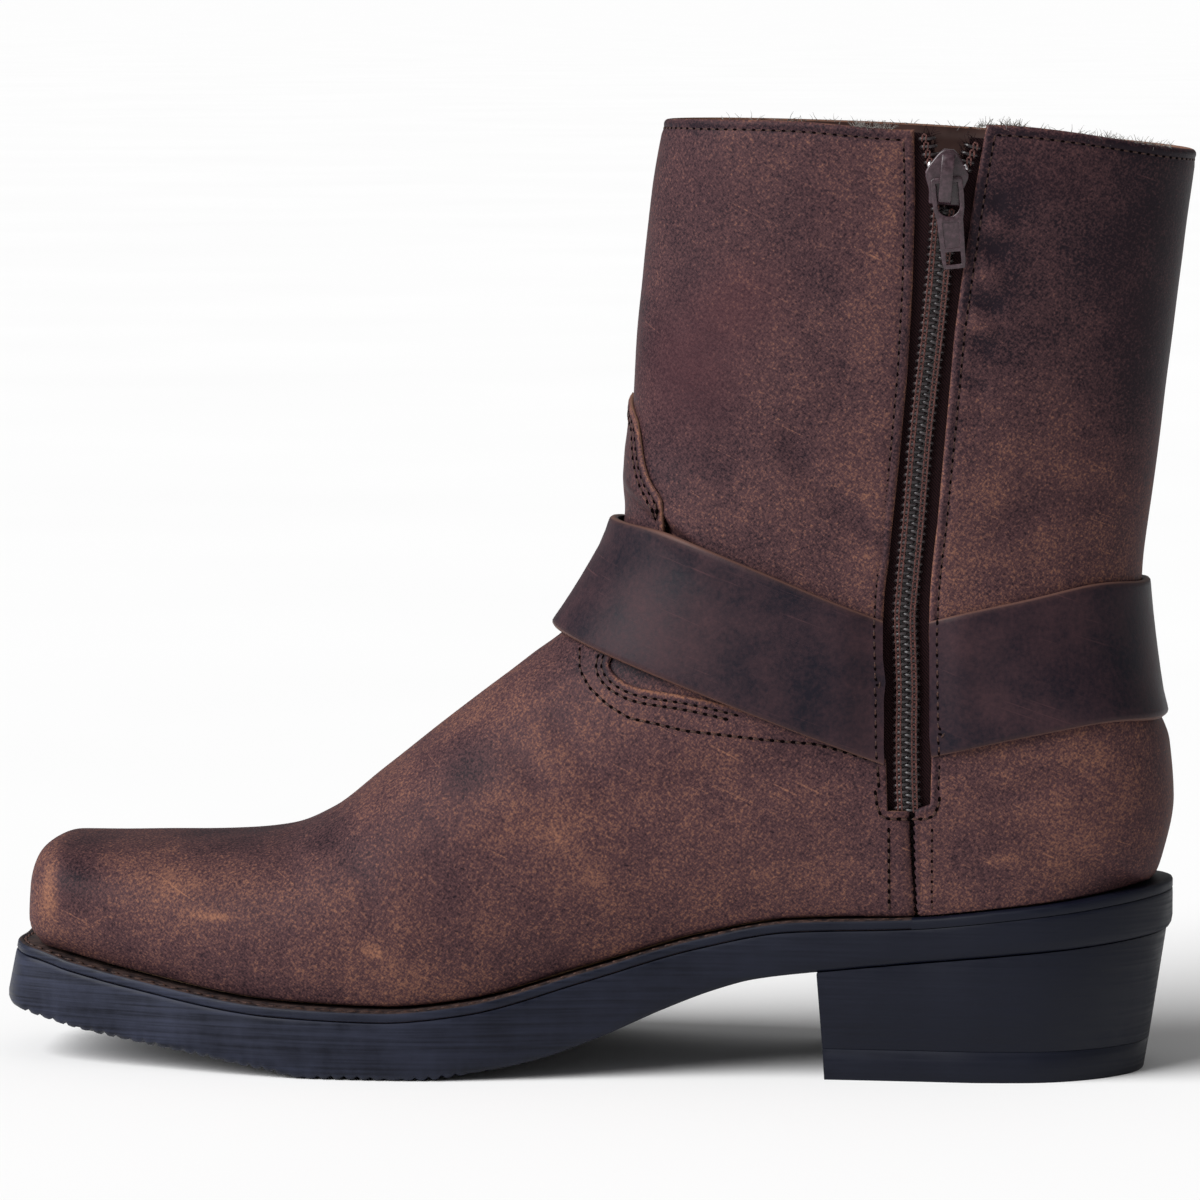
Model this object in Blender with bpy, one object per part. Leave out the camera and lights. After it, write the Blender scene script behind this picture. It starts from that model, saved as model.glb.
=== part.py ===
"""Harness boot for the right foot, modelled with Blender in metres, +Z up.

The toe points to -X. The inner side of the foot, which has the zip, faces -Y. The tables and
constants are in millimetres, measured from the axis of the heel, and become metres in each mesh.
"""
import math

import bmesh
import bpy
import numpy as np
from mathutils import Matrix, Vector

MM = 0.001
GAP = 0.3
# from the heel's axis to the frame's origin, which is under the middle of the whole boot
AXIS_SHIFT = np.array((1.0, -3.7, 0.0))

# the edge of the sole seen from above, toe to heel: half-widths on the inner and outer side
SOLE_OUTLINE = (
    # x, inner, outer
    (-154.8, 13.0, 15.0),
    (-151.6, 20.0, 22.0),
    (-140.0, 26.5, 28.5),
    (-120.0, 33.5, 36.0),
    (-100.0, 40.0, 43.5),
    (-80.0, 44.5, 49.0),
    (-60.0, 46.5, 52.5),
    (-40.0, 46.0, 54.0),
    (-20.0, 42.5, 53.0),
    (0.0, 38.0, 50.0),
    (25.0, 34.0, 44.5),
    (50.0, 33.0, 39.0),
    (84.0, 33.6, 35.8),
    (105.0, 34.0, 35.0),
    (125.0, 30.5, 31.0),
    (140.0, 20.5, 21.0),
    (147.0, 10.5, 10.5),
)
SOLE_TOE_X = -155.3
SOLE_BACK_X = 149.0

# the sole seen from the side
SEAT = (
    # x, z
    (-156.0, 31.0),
    (-143.0, 28.9),
    (-119.0, 24.2),
    (-80.0, 18.8),
    (-52.0, 18.0),
    (-31.0, 19.9),
    (0.0, 28.2),
    (28.0, 36.4),
    (52.0, 41.0),
    (82.0, 42.3),
    (110.0, 45.2),
    (149.0, 50.0),
)
TREAD = (
    # x, z
    (-156.0, 14.4),
    (-133.0, 9.2),
    (-103.0, 5.0),
    (-84.0, 2.0),
    (-71.0, 0.0),
    (-42.0, 0.0),
    (-31.0, 1.4),
    (-13.0, 4.9),
    (3.5, 10.6),
    (19.5, 17.6),
    (33.0, 22.8),
    (43.0, 25.6),
    (58.0, 27.6),
    (149.0, 36.7),
)
# how far the welt stands out from the upper
WELT_WIDTH = (
    # x, width
    (-156.0, 7.4),
    (-140.0, 6.4),
    (-100.0, 5.2),
    (-40.0, 5.0),
    (20.0, 3.0),
    (60.0, 2.2),
    (110.0, 2.6),
    (135.0, 4.2),
    (149.0, 5.4),
)
WELT_THICKNESS = 2.7
WELT_INSIDE = 9.0
WELT_END_X = 84.0
SOLE_EDGE = (
    # inset, rise, from_top
    (2.0, 0.0, False),
    (0.3, 1.4, False),
    (0.0, 4.0, False),
    (0.0, 0.8, True),
    (0.7, 0.0, True),
)
# how far the sole's edge leans back at the toe for each millimetre up, and where that starts
TOE_LEAN = 0.2
TOE_LEAN_X = (-135.0, -150.0)
INSOLE_THICKNESS = 3.0
INSOLE_CLEARANCE = 2.0

HEEL_BREAST_X = 59.0
HEEL_BREAST_RAKE = 2.0
HEEL_BACK_X = 147.4
HEEL_BACK_RAKE = 5.6
HEEL_SIDE_INSET = 0.7
HEEL_SIDE_RAKE = 0.8
HEEL_HEIGHT = 33.0
HEEL_CAP_THICKNESS = 8.0
HEEL_STATIONS = 17

# sections of the upper from the toe to the back of the heel: the front point, the place along the
# sole where the section ends, the half-widths, and where and how squarely the widest part turns
FOOT_COLUMNS = ("front_x", "front_z", "back_x", "inner", "outer", "level", "top_power", "base_power")
FOOT = (
    (-146.6, 31.0, -146.6, 10.0, 12.0, 0.50, 2.0, 2.0),
    (-148.7, 37.7, -142.0, 20.5, 22.5, 0.45, 3.0, 2.0),
    (-148.4, 46.2, -136.0, 25.0, 27.0, 0.42, 3.0, 2.0),
    (-146.2, 53.8, -130.0, 28.0, 30.0, 0.40, 2.9, 2.0),
    (-139.5, 57.4, -123.0, 30.8, 33.0, 0.38, 2.7, 2.0),
    (-125.0, 57.6, -114.0, 34.0, 36.5, 0.36, 2.5, 2.0),
    (-110.0, 57.8, -104.0, 37.0, 40.0, 0.36, 2.4, 2.0),
    (-95.0, 58.2, -92.0, 40.0, 43.8, 0.35, 2.3, 2.0),
    (-82.0, 59.8, -80.0, 42.2, 46.8, 0.34, 2.2, 2.0),
    (-70.0, 65.2, -66.0, 43.6, 49.2, 0.32, 2.1, 2.0),
    (-57.0, 75.2, -50.0, 43.8, 50.6, 0.30, 2.0, 2.0),
    (-42.3, 86.7, -31.0, 42.2, 50.0, 0.29, 2.0, 2.0),
    (-29.5, 96.4, -13.0, 40.0, 47.5, 0.30, 2.0, 2.0),
    (-17.7, 105.6, 8.0, 37.8, 44.0, 0.32, 2.0, 2.0),
    (-7.6, 113.4, 30.0, 36.2, 41.0, 0.36, 2.0, 2.0),
    (0.8, 124.2, 58.0, 35.8, 38.8, 0.40, 2.1, 2.0),
    (6.3, 135.4, 90.0, 36.0, 37.5, 0.45, 2.1, 2.2),
    (7.4, 145.3, 122.0, 36.4, 37.0, 0.48, 2.2, 2.5),
    (7.2, 150.0, 137.0, 36.5, 36.8, 0.50, 2.2, 2.8),
)
# closed sections from the back of the heel up to the collar
SHAFT_COLUMNS = ("front_x", "front_z", "back_x", "back_z", "inner", "outer", "power")
SHAFT = (
    (7.6, 154.0, 143.6, 50.0, 36.5, 36.6, 3.0),
    (8.0, 159.5, 146.7, 57.8, 36.5, 36.5, 3.0),
    (8.9, 166.5, 148.8, 70.0, 36.5, 36.5, 2.9),
    (9.3, 174.5, 148.0, 84.0, 36.5, 36.5, 2.8),
    (9.7, 183.5, 142.6, 99.0, 36.5, 36.5, 2.6),
    (10.3, 194.0, 140.2, 124.0, 36.8, 36.8, 2.4),
    (11.3, 205.0, 142.8, 148.0, 37.2, 37.2, 2.3),
    (12.7, 218.0, 146.1, 176.0, 38.0, 38.0, 2.3),
    (14.6, 232.0, 149.6, 206.0, 39.0, 39.0, 2.3),
    (17.0, 245.0, 153.6, 237.0, 40.0, 40.0, 2.3),
)
SHAFT_LEVEL = 0.5
# sections narrow at the foot less than this share have no widest level of their own
STRAIGHT_SIDE = 0.03
SECTION_POINTS = 90
# how far the collar rises above its straight line, by the share of the way round (inner side < 0)
COLLAR_RISE = (
    # share, rise
    (-1.0, 0.0),
    (-0.9, 0.6),
    (-0.62, 4.2),
    (-0.46, -0.8),
    (0.0, 0.0),
    (0.5, 1.4),
    (1.0, 0.0),
)
COLLAR_DEPTH = 4.0
TOE_TURN = 0.75
STEEPEST_UNDERCUT = -0.3
SEAT_LIFT = 0.25
WALL = 2.2
UPPER_ROWS_BELOW = 29
UPPER_ROWS_ABOVE = 11
# columns of the upper's mesh from the front to the back: count so far, and share of the way round
UPPER_COLUMNS = ((0, 0.0), (3, 0.13), (11, 0.36), (21, 1.0))
TOE_CROWDING = 1.2
# the upper's edge of the vamp: share of the way round from the front, and height
VAMP_EDGE = (
    # share, z
    (0.0, 173.5),
    (0.04, 171.5),
    (0.077, 167.5),
    (0.104, 158.5),
    (0.13, 151.6),
    (0.155, 147.0),
    (0.175, 144.0),
    (0.20, 139.0),
    (0.25, 126.0),
    (0.30, 112.5),
    (0.34, 106.5),
    (0.40, 102.0),
    (0.46, 99.0),
    (0.60, 87.0),
)
VAMP_STEP = 1.4
VAMP_RISE_SHARES = (0.5, 0.95)
VAMP_LEAST = 0.05
VAMP_ROW = 16.0
VAMP_REACH = (8.0, 24.0)
VAMP_FADE_SHARES = (0.52, 0.64)
VAMP_JOIN_SHARE = 0.8

# the zip seen from the inner side of the foot
SLOT_DEPTH = (-75.0, -12.0)
SLOT = ((77.3, 71.2), (89.0, 71.2), (103.0, 262.0), (87.2, 262.0))
ZIP_BOTTOM = (83.2, 70.8)
ZIP_TOP = (93.7, 242.0)
ZIP_TAPE_LENGTH = (-7.0, 171.0)
ZIP_TAPE_WIDTH = 13.5
ZIP_TAPE_THICKNESS = 0.9
ZIP_COIL_LENGTH = (1.6, 152.5)
ZIP_COIL_WIDTH = 6.5
ZIP_COIL_THICKNESS = 1.8
ZIP_ROWS = 19
ARC_POINTS = 9
SLIDER_PLACE = 160.5
SLIDER_OUTLINE = ((-1.6, 7.2), (1.6, 7.2), (5.5, 1.2), (4.2, -3.4), (4.0, -6.8), (-4.0, -6.8),
                  (-4.2, -3.4), (-5.5, 1.2))
SLIDER_BACK = -2.0
SLIDER_FACE = 0.5
BRIDGE_LENGTH = 13.0
BRIDGE_HEIGHT = 3.0
BRIDGE_BAR = 0.8
BRIDGE_ROOT = 0.4
BRIDGE_SQUARENESS = 0.5
BRIDGE_WIDTH = 3.2
TAB_AXIS_ALONG = -0.4
TAB_AXIS_OUT = 1.6
TAB_THICKNESS = 1.2
TAB_OUTLINE = ((-4.0, 0.7), (4.0, 0.7), (4.1, -4.0), (3.3, -10.2), (3.0, -20.5), (2.6, -22.4),
               (-2.6, -22.4), (-3.0, -20.5), (-3.3, -10.2), (-4.1, -4.0))
TAB_SLOT_HALF = 2.6
TAB_SLOT_ENDS = (-0.7, -9.2)
TAB_HOLE = ((-2.0, -18.0), (2.0, -18.0), (2.0, -21.4), (-2.0, -21.4))

# the harness straps: edges seen from the side, x and z, on the inner and outer side of the foot
STRAP_THICKNESS = 2.2
STRAP_CLEARANCE = 1.2
FRONT_STRAP = {
    "inner_high": ((3.4, 142.0), (19.0, 139.5), (43.0, 130.6), (73.2, 119.0)),
    "inner_low": ((-13.3, 114.6), (-2.0, 109.7), (27.7, 99.5), (70.5, 83.7)),
    "outer_high": ((3.4, 142.0), (16.0, 136.0), (40.0, 123.5)),
    "outer_low": ((-13.3, 114.6), (0.0, 109.5), (34.0, 102.0)),
}
BACK_STRAP = {
    "inner_high": ((91.9, 118.6), (113.0, 123.1), (133.5, 127.0), (142.0, 127.0)),
    "inner_low": ((93.1, 83.4), (117.5, 89.1), (137.3, 92.0), (145.6, 92.0)),
    "outer_high": ((102.5, 114.5), (120.0, 119.0), (136.0, 126.0), (142.0, 127.0)),
    "outer_low": ((102.5, 92.0), (120.0, 91.5), (136.0, 92.0), (145.6, 92.0)),
}
LOWER_STRAP = {"top": (61.0, 73.0), "foot": (56.0, 43.4), "half_width": 10.5, "rows": 6}
STRAP_STEPS = 15
STRAP_ACROSS = 3
RING_CENTRE = (70.0, 101.0)
RING_RADIUS = 19.0
RING_WIRE = 2.5
RING_STANDOFF = 7.4
RING_SEGMENTS = 28
WIRE_SEGMENTS = 8
LOOP_INSIDE = 3.0
LOOP_SPREAD = math.radians(62)
LOOP_ANGLES = np.radians(np.linspace(-70.0, -310.0, 9))
# where each strap leaves the ring, towards the toe and up, and which way its edges run round it
STRAP_LOOPS = {
    "strap_front": ((1.0, 0.35), 1.0),
    "strap_back": ((-1.0, 0.1), -1.0),
    "strap_lower": ((0.3, -1.0), -1.0),
}

# colour, roughness and metallic of each finish
FINISHES = {
    "leather": ((0.105, 0.045, 0.03, 1.0), 0.55, 0.0),
    "strap": ((0.045, 0.024, 0.026, 1.0), 0.5, 0.0),
    "sole": ((0.014, 0.016, 0.022, 1.0), 0.4, 0.0),
    "welt": ((0.035, 0.022, 0.02, 1.0), 0.6, 0.0),
    "board": ((0.2, 0.13, 0.08, 1.0), 0.8, 0.0),
    "tape": ((0.04, 0.018, 0.015, 1.0), 0.9, 0.0),
    "coil": ((0.02, 0.015, 0.016, 1.0), 0.4, 0.0),
    "paint": ((0.05, 0.022, 0.025, 1.0), 0.35, 0.6),
    "ring": ((0.55, 0.53, 0.5, 1.0), 0.25, 1.0),
}

for old in list(bpy.data.objects):
    bpy.data.objects.remove(old, do_unlink=True)
PARTS = bpy.data.collections.new("harness_boot")
CUTTERS = bpy.data.collections.new("cutters")
for group in (PARTS, CUTTERS):
    bpy.context.scene.collection.children.link(group)


def curve(rows):
    """A smooth function through a table's rows that doesn't overshoot between them."""
    xs, ys = np.array(rows, float)[:, :2].T
    slope = np.diff(ys) / np.diff(xs)
    tangent = np.zeros_like(ys)
    for i in range(1, len(xs) - 1):
        if slope[i - 1] * slope[i] > 0:
            tangent[i] = 2.0 / (1.0 / slope[i - 1] + 1.0 / slope[i])
    tangent[0], tangent[-1] = slope[0], slope[-1]

    def at(x):
        i = np.clip(np.searchsorted(xs, x) - 1, 0, len(xs) - 2)
        width = xs[i + 1] - xs[i]
        u = np.clip((x - xs[i]) / width, 0.0, 1.0)
        start = (1 + 2 * u) * (1 - u) ** 2 * ys[i] + u * (1 - u) ** 2 * width * tangent[i]
        end = u ** 2 * (3 - 2 * u) * ys[i + 1] + u ** 2 * (u - 1) * width * tangent[i + 1]
        return start + end

    return at


def fade(x, start, end):
    """Rise smoothly from 0 at start to 1 at end."""
    u = np.clip((x - start) / (end - start), 0.0, 1.0)
    return u * u * (3 - 2 * u)


seat = curve(SEAT)
tread = curve(TREAD)
welt_width = curve(WELT_WIDTH)


def sole_loop():
    """The sole's outline as a closed smooth curve: toe, inner side, heel, outer side."""
    rows = np.array(SOLE_OUTLINE)
    toe_middle = (rows[0, 2] - rows[0, 1]) / 2
    inner = np.column_stack((rows[:, 0], -rows[:, 1]))
    outer = np.column_stack((rows[:, 0], rows[:, 2]))[::-1]
    knots = np.vstack(((SOLE_TOE_X, toe_middle), inner, (SOLE_BACK_X, 0.0), outer))
    before, after = np.roll(knots, 1, axis=0), np.roll(knots, -1, axis=0)
    reach = np.linalg.norm(after - knots, axis=1)[:, None]
    back_reach = np.roll(reach, 1, axis=0)
    pull = (knots - before) / back_reach * reach + (after - knots) / reach * back_reach
    tangent = pull / (reach + back_reach)
    middle = (knots + after) / 2 + (tangent - np.roll(tangent, -1, axis=0)) * reach / 8
    return np.stack((knots, middle), axis=1).reshape(-1, 2)


def inset(loop, distance):
    """Move a loop inwards by a distance, which may differ from point to point."""
    along = np.roll(loop, -1, axis=0) - np.roll(loop, 1, axis=0)
    along /= np.linalg.norm(along, axis=1)[:, None]
    inwards = np.column_stack((-along[:, 1], along[:, 0]))
    return loop + inwards * np.reshape(distance, (-1, 1))


def sides(loop):
    """Split a loop at toe and heel into its inner and outer side, both from toe to heel."""
    half = len(loop) // 2
    return loop[:half + 1], np.vstack((loop[:1], loop[:half - 1:-1]))


OUTLINE = sole_loop()
FEATHER = inset(OUTLINE, welt_width(OUTLINE[:, 0]))


def half_widths(loop, x):
    """How far a loop reaches to the inner and the outer side at x."""
    inner, outer = sides(loop)
    return np.interp(x, inner[:, 0], -inner[:, 1]), np.interp(x, outer[:, 0], outer[:, 1])


def section_values(s):
    """The upper's section number s, between the rows of its two tables."""
    value = {name: track(s) for name, track in TRACKS.items()}
    if s < len(FOOT):
        value["back_z"] = seat(value["back_x"]) + SEAT_LIFT
        value["base"] = half_widths(FEATHER, value["back_x"])
    else:
        value["base"] = (0.0, 0.0)
    if s == 0:
        value["base"] = (value["inner"], value["outer"])
        value["front_z"] = value["back_z"]
    return value


def table_tracks():
    """A smooth track along the upper for each column of its tables."""
    rows = [dict(zip(FOOT_COLUMNS, row), back_z=0.0) for row in FOOT]
    for row in SHAFT:
        values = dict(zip(SHAFT_COLUMNS, row), level=SHAFT_LEVEL)
        values["top_power"] = values["base_power"] = values.pop("power")
        rows.append(values)
    for row in rows[:len(FOOT)]:
        row["back_z"] = seat(row["back_x"]) + SEAT_LIFT
    return {name: curve([(i, row[name]) for i, row in enumerate(rows)]) for name in rows[0]}


TRACKS = table_tracks()
SECTIONS = len(FOOT) + len(SHAFT) - 1


def half_section(value, side, base, shares):
    """One side of a section, at shares of its length from the front (0) to its end (1)."""
    width = value[side]
    ratio = min(base / width, 1.0)
    level = value["level"] * min(1.0, (1.0 - ratio) / STRAIGHT_SIDE)
    powers = 2.0 / value["top_power"], 2.0 / value["base_power"]
    lowest = math.acos(ratio ** (1.0 / powers[1]))
    turn = np.linspace(0.0, 1.0, SECTION_POINTS)
    above, below = math.pi / 2 * (1 - turn), lowest * turn[1:]
    y = width * np.concatenate((np.cos(above) ** powers[0], np.cos(below) ** powers[1]))
    rise = level + (1 - level) * np.sin(above) ** powers[0]
    fall = level * (1 - (np.sin(below) / max(math.sin(lowest), 1e-9)) ** powers[1])
    u = np.concatenate((rise, fall))
    front = np.array((value["front_x"], 0.0, value["front_z"]))
    back = np.array((value["back_x"], 0.0, value["back_z"]))
    points = back + u[:, None] * (front - back)
    points[:, 1] = -y if side == "inner" else y
    points[0, 1] = 0.0
    if base == 0.0:
        points[-1] = back
    length = np.concatenate(((0.0,), np.cumsum(np.linalg.norm(np.diff(points, axis=0), axis=1))))
    return np.column_stack([np.interp(shares * length[-1], length, points[:, k]) for k in range(3)])


S_STEPS = np.linspace(0.0, SECTIONS, SECTIONS * 8 + 1)
T_STEPS = np.linspace(-1.0, 1.0, 161)


def surface_grid():
    """The outside of the upper and its outward normals on a fine grid of section and share."""
    grid = np.zeros((len(S_STEPS), len(T_STEPS), 3))
    for i, s in enumerate(S_STEPS):
        value = section_values(s)
        inner = half_section(value, "inner", value["base"][0], -T_STEPS[T_STEPS <= 0])
        outer = half_section(value, "outer", value["base"][1], T_STEPS[T_STEPS > 0])
        grid[i] = np.vstack((inner, outer))
    collar = fade(S_STEPS, SECTIONS - COLLAR_DEPTH, SECTIONS)
    grid[:, :, 2] += collar[:, None] * curve(COLLAR_RISE)(T_STEPS)
    normal = np.cross(np.gradient(grid, axis=1), np.gradient(grid, axis=0))
    closed = S_STEPS >= len(FOOT)
    seam = normal[closed, 0] + normal[closed, -1]
    normal[closed, 0] = normal[closed, -1] = seam
    normal /= np.maximum(np.linalg.norm(normal, axis=2), 1e-12)[:, :, None]
    if normal[len(S_STEPS) // 4, len(T_STEPS) // 2, 2] < 0:
        normal = -normal
    normal[S_STEPS < TOE_TURN] = normal[np.searchsorted(S_STEPS, TOE_TURN)]
    normal[:, :, 2] = np.maximum(normal[:, :, 2], STEEPEST_UNDERCUT)
    normal /= np.linalg.norm(normal, axis=2)[:, :, None]
    return grid, normal


SURFACE, NORMAL = surface_grid()


def sample(grid, s, t):
    """Read a grid at any section s and share t, which may be arrays of one shape."""
    i, j = np.asarray(s) / S_STEPS[1], (np.asarray(t) + 1.0) / (T_STEPS[1] - T_STEPS[0])
    i0 = np.clip(np.floor(i).astype(int), 0, len(S_STEPS) - 2)
    j0 = np.clip(np.floor(j).astype(int), 0, len(T_STEPS) - 2)
    u, v = (i - i0)[..., None], (j - j0)[..., None]
    low = grid[i0, j0] * (1 - v) + grid[i0, j0 + 1] * v
    high = grid[i0 + 1, j0] * (1 - v) + grid[i0 + 1, j0 + 1] * v
    return low * (1 - u) + high * u


def skin(s, t, out=0.0):
    """A point of the upper's surface, moved outwards along its normal."""
    return sample(SURFACE, s, t) + sample(NORMAL, s, t) * np.asarray(out)[..., None]


def locate(x, z, side):
    """Section and share of the surface point that shows at x, z from one side (-1 inner, 1 outer)."""
    half = T_STEPS * side > 0
    miss = (SURFACE[:, half, 0] - x) ** 2 + (SURFACE[:, half, 2] - z) ** 2
    i, j = np.unravel_index(np.argmin(miss), miss.shape)
    st = np.array((S_STEPS[i], T_STEPS[half][j]))
    for _ in range(6):
        here = skin(*st)[[0, 2]]
        step = 0.05, 0.005
        change = [(skin(*(st + shift))[[0, 2]] - here) / size
                  for shift, size in zip(np.diag(step), step)]
        st = st + np.linalg.solve(np.column_stack(change), (x, z) - here) * 0.8
        st = np.clip(st, (0.0, -0.99), (SECTIONS - 0.06, 0.99))
    return st


def finish(name):
    """The Principled material for one of the finishes."""
    material = bpy.data.materials.get(name) or bpy.data.materials.new(name)
    material.use_nodes = True
    shader = material.node_tree.nodes["Principled BSDF"]
    colour, roughness, metallic = FINISHES[name]
    shader.inputs["Base Color"].default_value = colour
    shader.inputs["Roughness"].default_value = roughness
    shader.inputs["Metallic"].default_value = metallic
    return material


def add_object(name, bm, material, shifted=True):
    """Turn a bmesh in millimetres into a named object in metres."""
    bmesh.ops.remove_doubles(bm, verts=bm.verts, dist=1e-4)
    bmesh.ops.recalc_face_normals(bm, faces=bm.faces)
    if shifted:
        bmesh.ops.translate(bm, verts=bm.verts, vec=AXIS_SHIFT)
    bmesh.ops.scale(bm, verts=bm.verts, vec=(MM, MM, MM))
    mesh = bpy.data.meshes.new(name)
    bm.to_mesh(mesh)
    bm.free()
    mesh.shade_smooth()
    mesh.set_sharp_from_angle(angle=math.radians(40))
    piece = bpy.data.objects.new(name, mesh)
    if material:
        mesh.materials.append(finish(material))
        PARTS.objects.link(piece)
    else:
        piece.hide_render = True
        piece.display_type = "WIRE"
        CUTTERS.objects.link(piece)
    return piece


def boolean(piece, cutter, operation):
    """Cut or join a piece with another mesh object."""
    change = piece.modifiers.new(cutter.name, "BOOLEAN")
    change.operation = operation
    change.object = cutter


def sheet_solid(bm, top, bottom):
    """Close the space between two grids of points, rows by columns, into one solid."""
    rows, columns = top.shape[:2]
    high = [[bm.verts.new(point) for point in row] for row in top]
    low = [[bm.verts.new(point) for point in row] for row in bottom]
    closed = [np.allclose(row[0], row[-1], atol=1e-5) for row in top]
    for r in range(rows - 1):
        for c in range(columns - 1):
            bm.faces.new((high[r][c], high[r + 1][c], high[r + 1][c + 1], high[r][c + 1]))
            bm.faces.new((low[r][c], low[r][c + 1], low[r + 1][c + 1], low[r + 1][c]))
        if not (closed[r] and closed[r + 1]):
            for c in (0, -1):
                bm.faces.new((high[r][c], low[r][c], low[r + 1][c], high[r + 1][c]))
    for r in (0, -1):
        for c in range(columns - 1):
            bm.faces.new((high[r][c], low[r][c], low[r][c + 1], high[r][c + 1]))


def slab(bm, levels):
    """Stack levels, each an inner and an outer side from front to back, into one solid."""
    rings = [[[bm.verts.new(point) for point in side] for side in level] for level in levels]
    last = len(levels[0][0]) - 1
    for (in0, out0), (in1, out1) in zip(rings, rings[1:]):
        for i in range(last):
            bm.faces.new((in0[i], in0[i + 1], in1[i + 1], in1[i]))
            bm.faces.new((out0[i + 1], out0[i], out1[i], out1[i + 1]))
        bm.faces.new((out0[0], in0[0], in1[0], out1[0]))
        bm.faces.new((in0[last], out0[last], out1[last], in1[last]))
    for inner, outer in (rings[0], rings[-1]):
        for i in range(last):
            bm.faces.new((inner[i], outer[i], outer[i + 1], inner[i + 1]))


def plate(bm, outline, lift):
    """A flat closed outline of 3D points, raised into a solid by a vector."""
    face = bm.faces.new([bm.verts.new(point) for point in outline])
    grown = bmesh.ops.extrude_face_region(bm, geom=[face])["geom"]
    bmesh.ops.translate(bm, verts=[v for v in grown if isinstance(v, bmesh.types.BMVert)], vec=lift)


def lean(points):
    """Lean the sole's edge back at the toe: an array of points, the last axis x, y, z."""
    x, z = points[..., 0], points[..., 2]
    back = TOE_LEAN * (z - tread(x)) * fade(x, *TOE_LEAN_X)
    return points + back[..., None] * np.array((1.0, 0.0, 0.0))


def level_of(loop, height):
    """A loop's two sides with the height of a side-view curve."""
    return [np.column_stack((side, height(side[:, 0]))) for side in sides(loop)]


def make_outsole():
    """The full-length sole: tread below, and a top that follows the seat under the welt."""
    def top(x):
        return seat(x) - WELT_THICKNESS - 2 * GAP

    levels = []
    for move, rise, from_top in SOLE_EDGE:
        def height(x, rise=rise, from_top=from_top):
            return top(x) - rise if from_top else tread(x) + rise
        levels.append([lean(side) for side in level_of(inset(OUTLINE, move), height)])
    bm = bmesh.new()
    slab(bm, levels)
    add_object("outsole", bm, "sole")


def make_edge_strips():
    """The stitched welt round the toe and the plain rand round the heel, both under the upper."""
    inside = inset(OUTLINE, welt_width(OUTLINE[:, 0]) + WELT_INSIDE)
    half = len(OUTLINE) // 2
    order = np.arange(-half, half)
    welt = [i for i in order if OUTLINE[i, 0] <= WELT_END_X]
    rand = [i for i in range(len(OUTLINE)) if OUTLINE[i, 0] >= WELT_END_X]
    for name, path, material in (("welt", welt, "welt"), ("heel_rand", rand, "sole")):
        plan = np.stack((OUTLINE[path], inside[path]), axis=1)
        if name == "heel_rand":
            plan[[0, -1], :, 0] += GAP
        height = seat(plan[:, :, 0])[:, :, None] - GAP
        bm = bmesh.new()
        sheet_solid(bm, lean(np.concatenate((plan, height), axis=2)),
                    lean(np.concatenate((plan, height - WELT_THICKNESS), axis=2)))
        add_object(name, bm, material)


def heel_level(height):
    """The heel's two sides at a height, drawn in towards the floor."""
    drop = 1.0 - height / HEEL_HEIGHT
    front = HEEL_BREAST_X + HEEL_BREAST_RAKE * drop
    back = HEEL_BACK_X - HEEL_BACK_RAKE * drop
    share = np.sin(np.linspace(0.0, math.pi / 2, HEEL_STATIONS))
    reach = half_widths(OUTLINE, HEEL_BREAST_X + (SOLE_BACK_X - HEEL_BREAST_X) * share)
    narrow = HEEL_SIDE_INSET + HEEL_SIDE_RAKE * drop
    x = front + (back - front) * share
    level = []
    for sign, width in zip((-1.0, 1.0), reach):
        y = sign * np.maximum(width - narrow * np.sqrt(1.0 - share ** 2), 0.0)
        level.append(np.column_stack((x, y, np.full_like(x, height))))
    return level


def make_heel():
    """The stacked heel under the sole, and its cap on the floor."""
    top = heel_level(HEEL_HEIGHT)
    for side in top:
        side[:, 2] = tread(side[:, 0]) - GAP
    bm = bmesh.new()
    slab(bm, (heel_level(HEEL_CAP_THICKNESS + GAP), top))
    add_object("heel_block", bm, "sole")
    bm = bmesh.new()
    slab(bm, (heel_level(0.0), heel_level(HEEL_CAP_THICKNESS)))
    add_object("heel_cap", bm, "sole")


def make_insole():
    """The board that the foot stands on, inside the wall of the upper."""
    loop = inset(FEATHER, WALL + INSOLE_CLEARANCE)
    bm = bmesh.new()
    slab(bm, (level_of(loop, seat), level_of(loop, lambda x: seat(x) + INSOLE_THICKNESS)))
    add_object("insole", bm, "board")


def vamp_row(t):
    """The section number of the vamp's edge at share t."""
    share, last = abs(t), VAMP_EDGE[-1][0]
    line = np.full_like(S_STEPS, np.clip(t, -last, last))
    heights = sample(SURFACE, S_STEPS, line)[:, 2]
    edge = curve(VAMP_EDGE)(min(share, last))
    ankle = (S_STEPS >= VAMP_REACH[0]) & (S_STEPS <= VAMP_REACH[1])
    row = np.interp(edge, heights[ankle], S_STEPS[ankle])
    return row + (VAMP_ROW - row) * fade(share, last, VAMP_JOIN_SHARE)


def vamp_height(t):
    """How far the vamp stands on the shaft at share t: it runs out behind the zip."""
    height = VAMP_STEP * (1.0 - fade(np.abs(t), *VAMP_FADE_SHARES))
    return np.where(height > VAMP_LEAST, height, 0.0)


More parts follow.
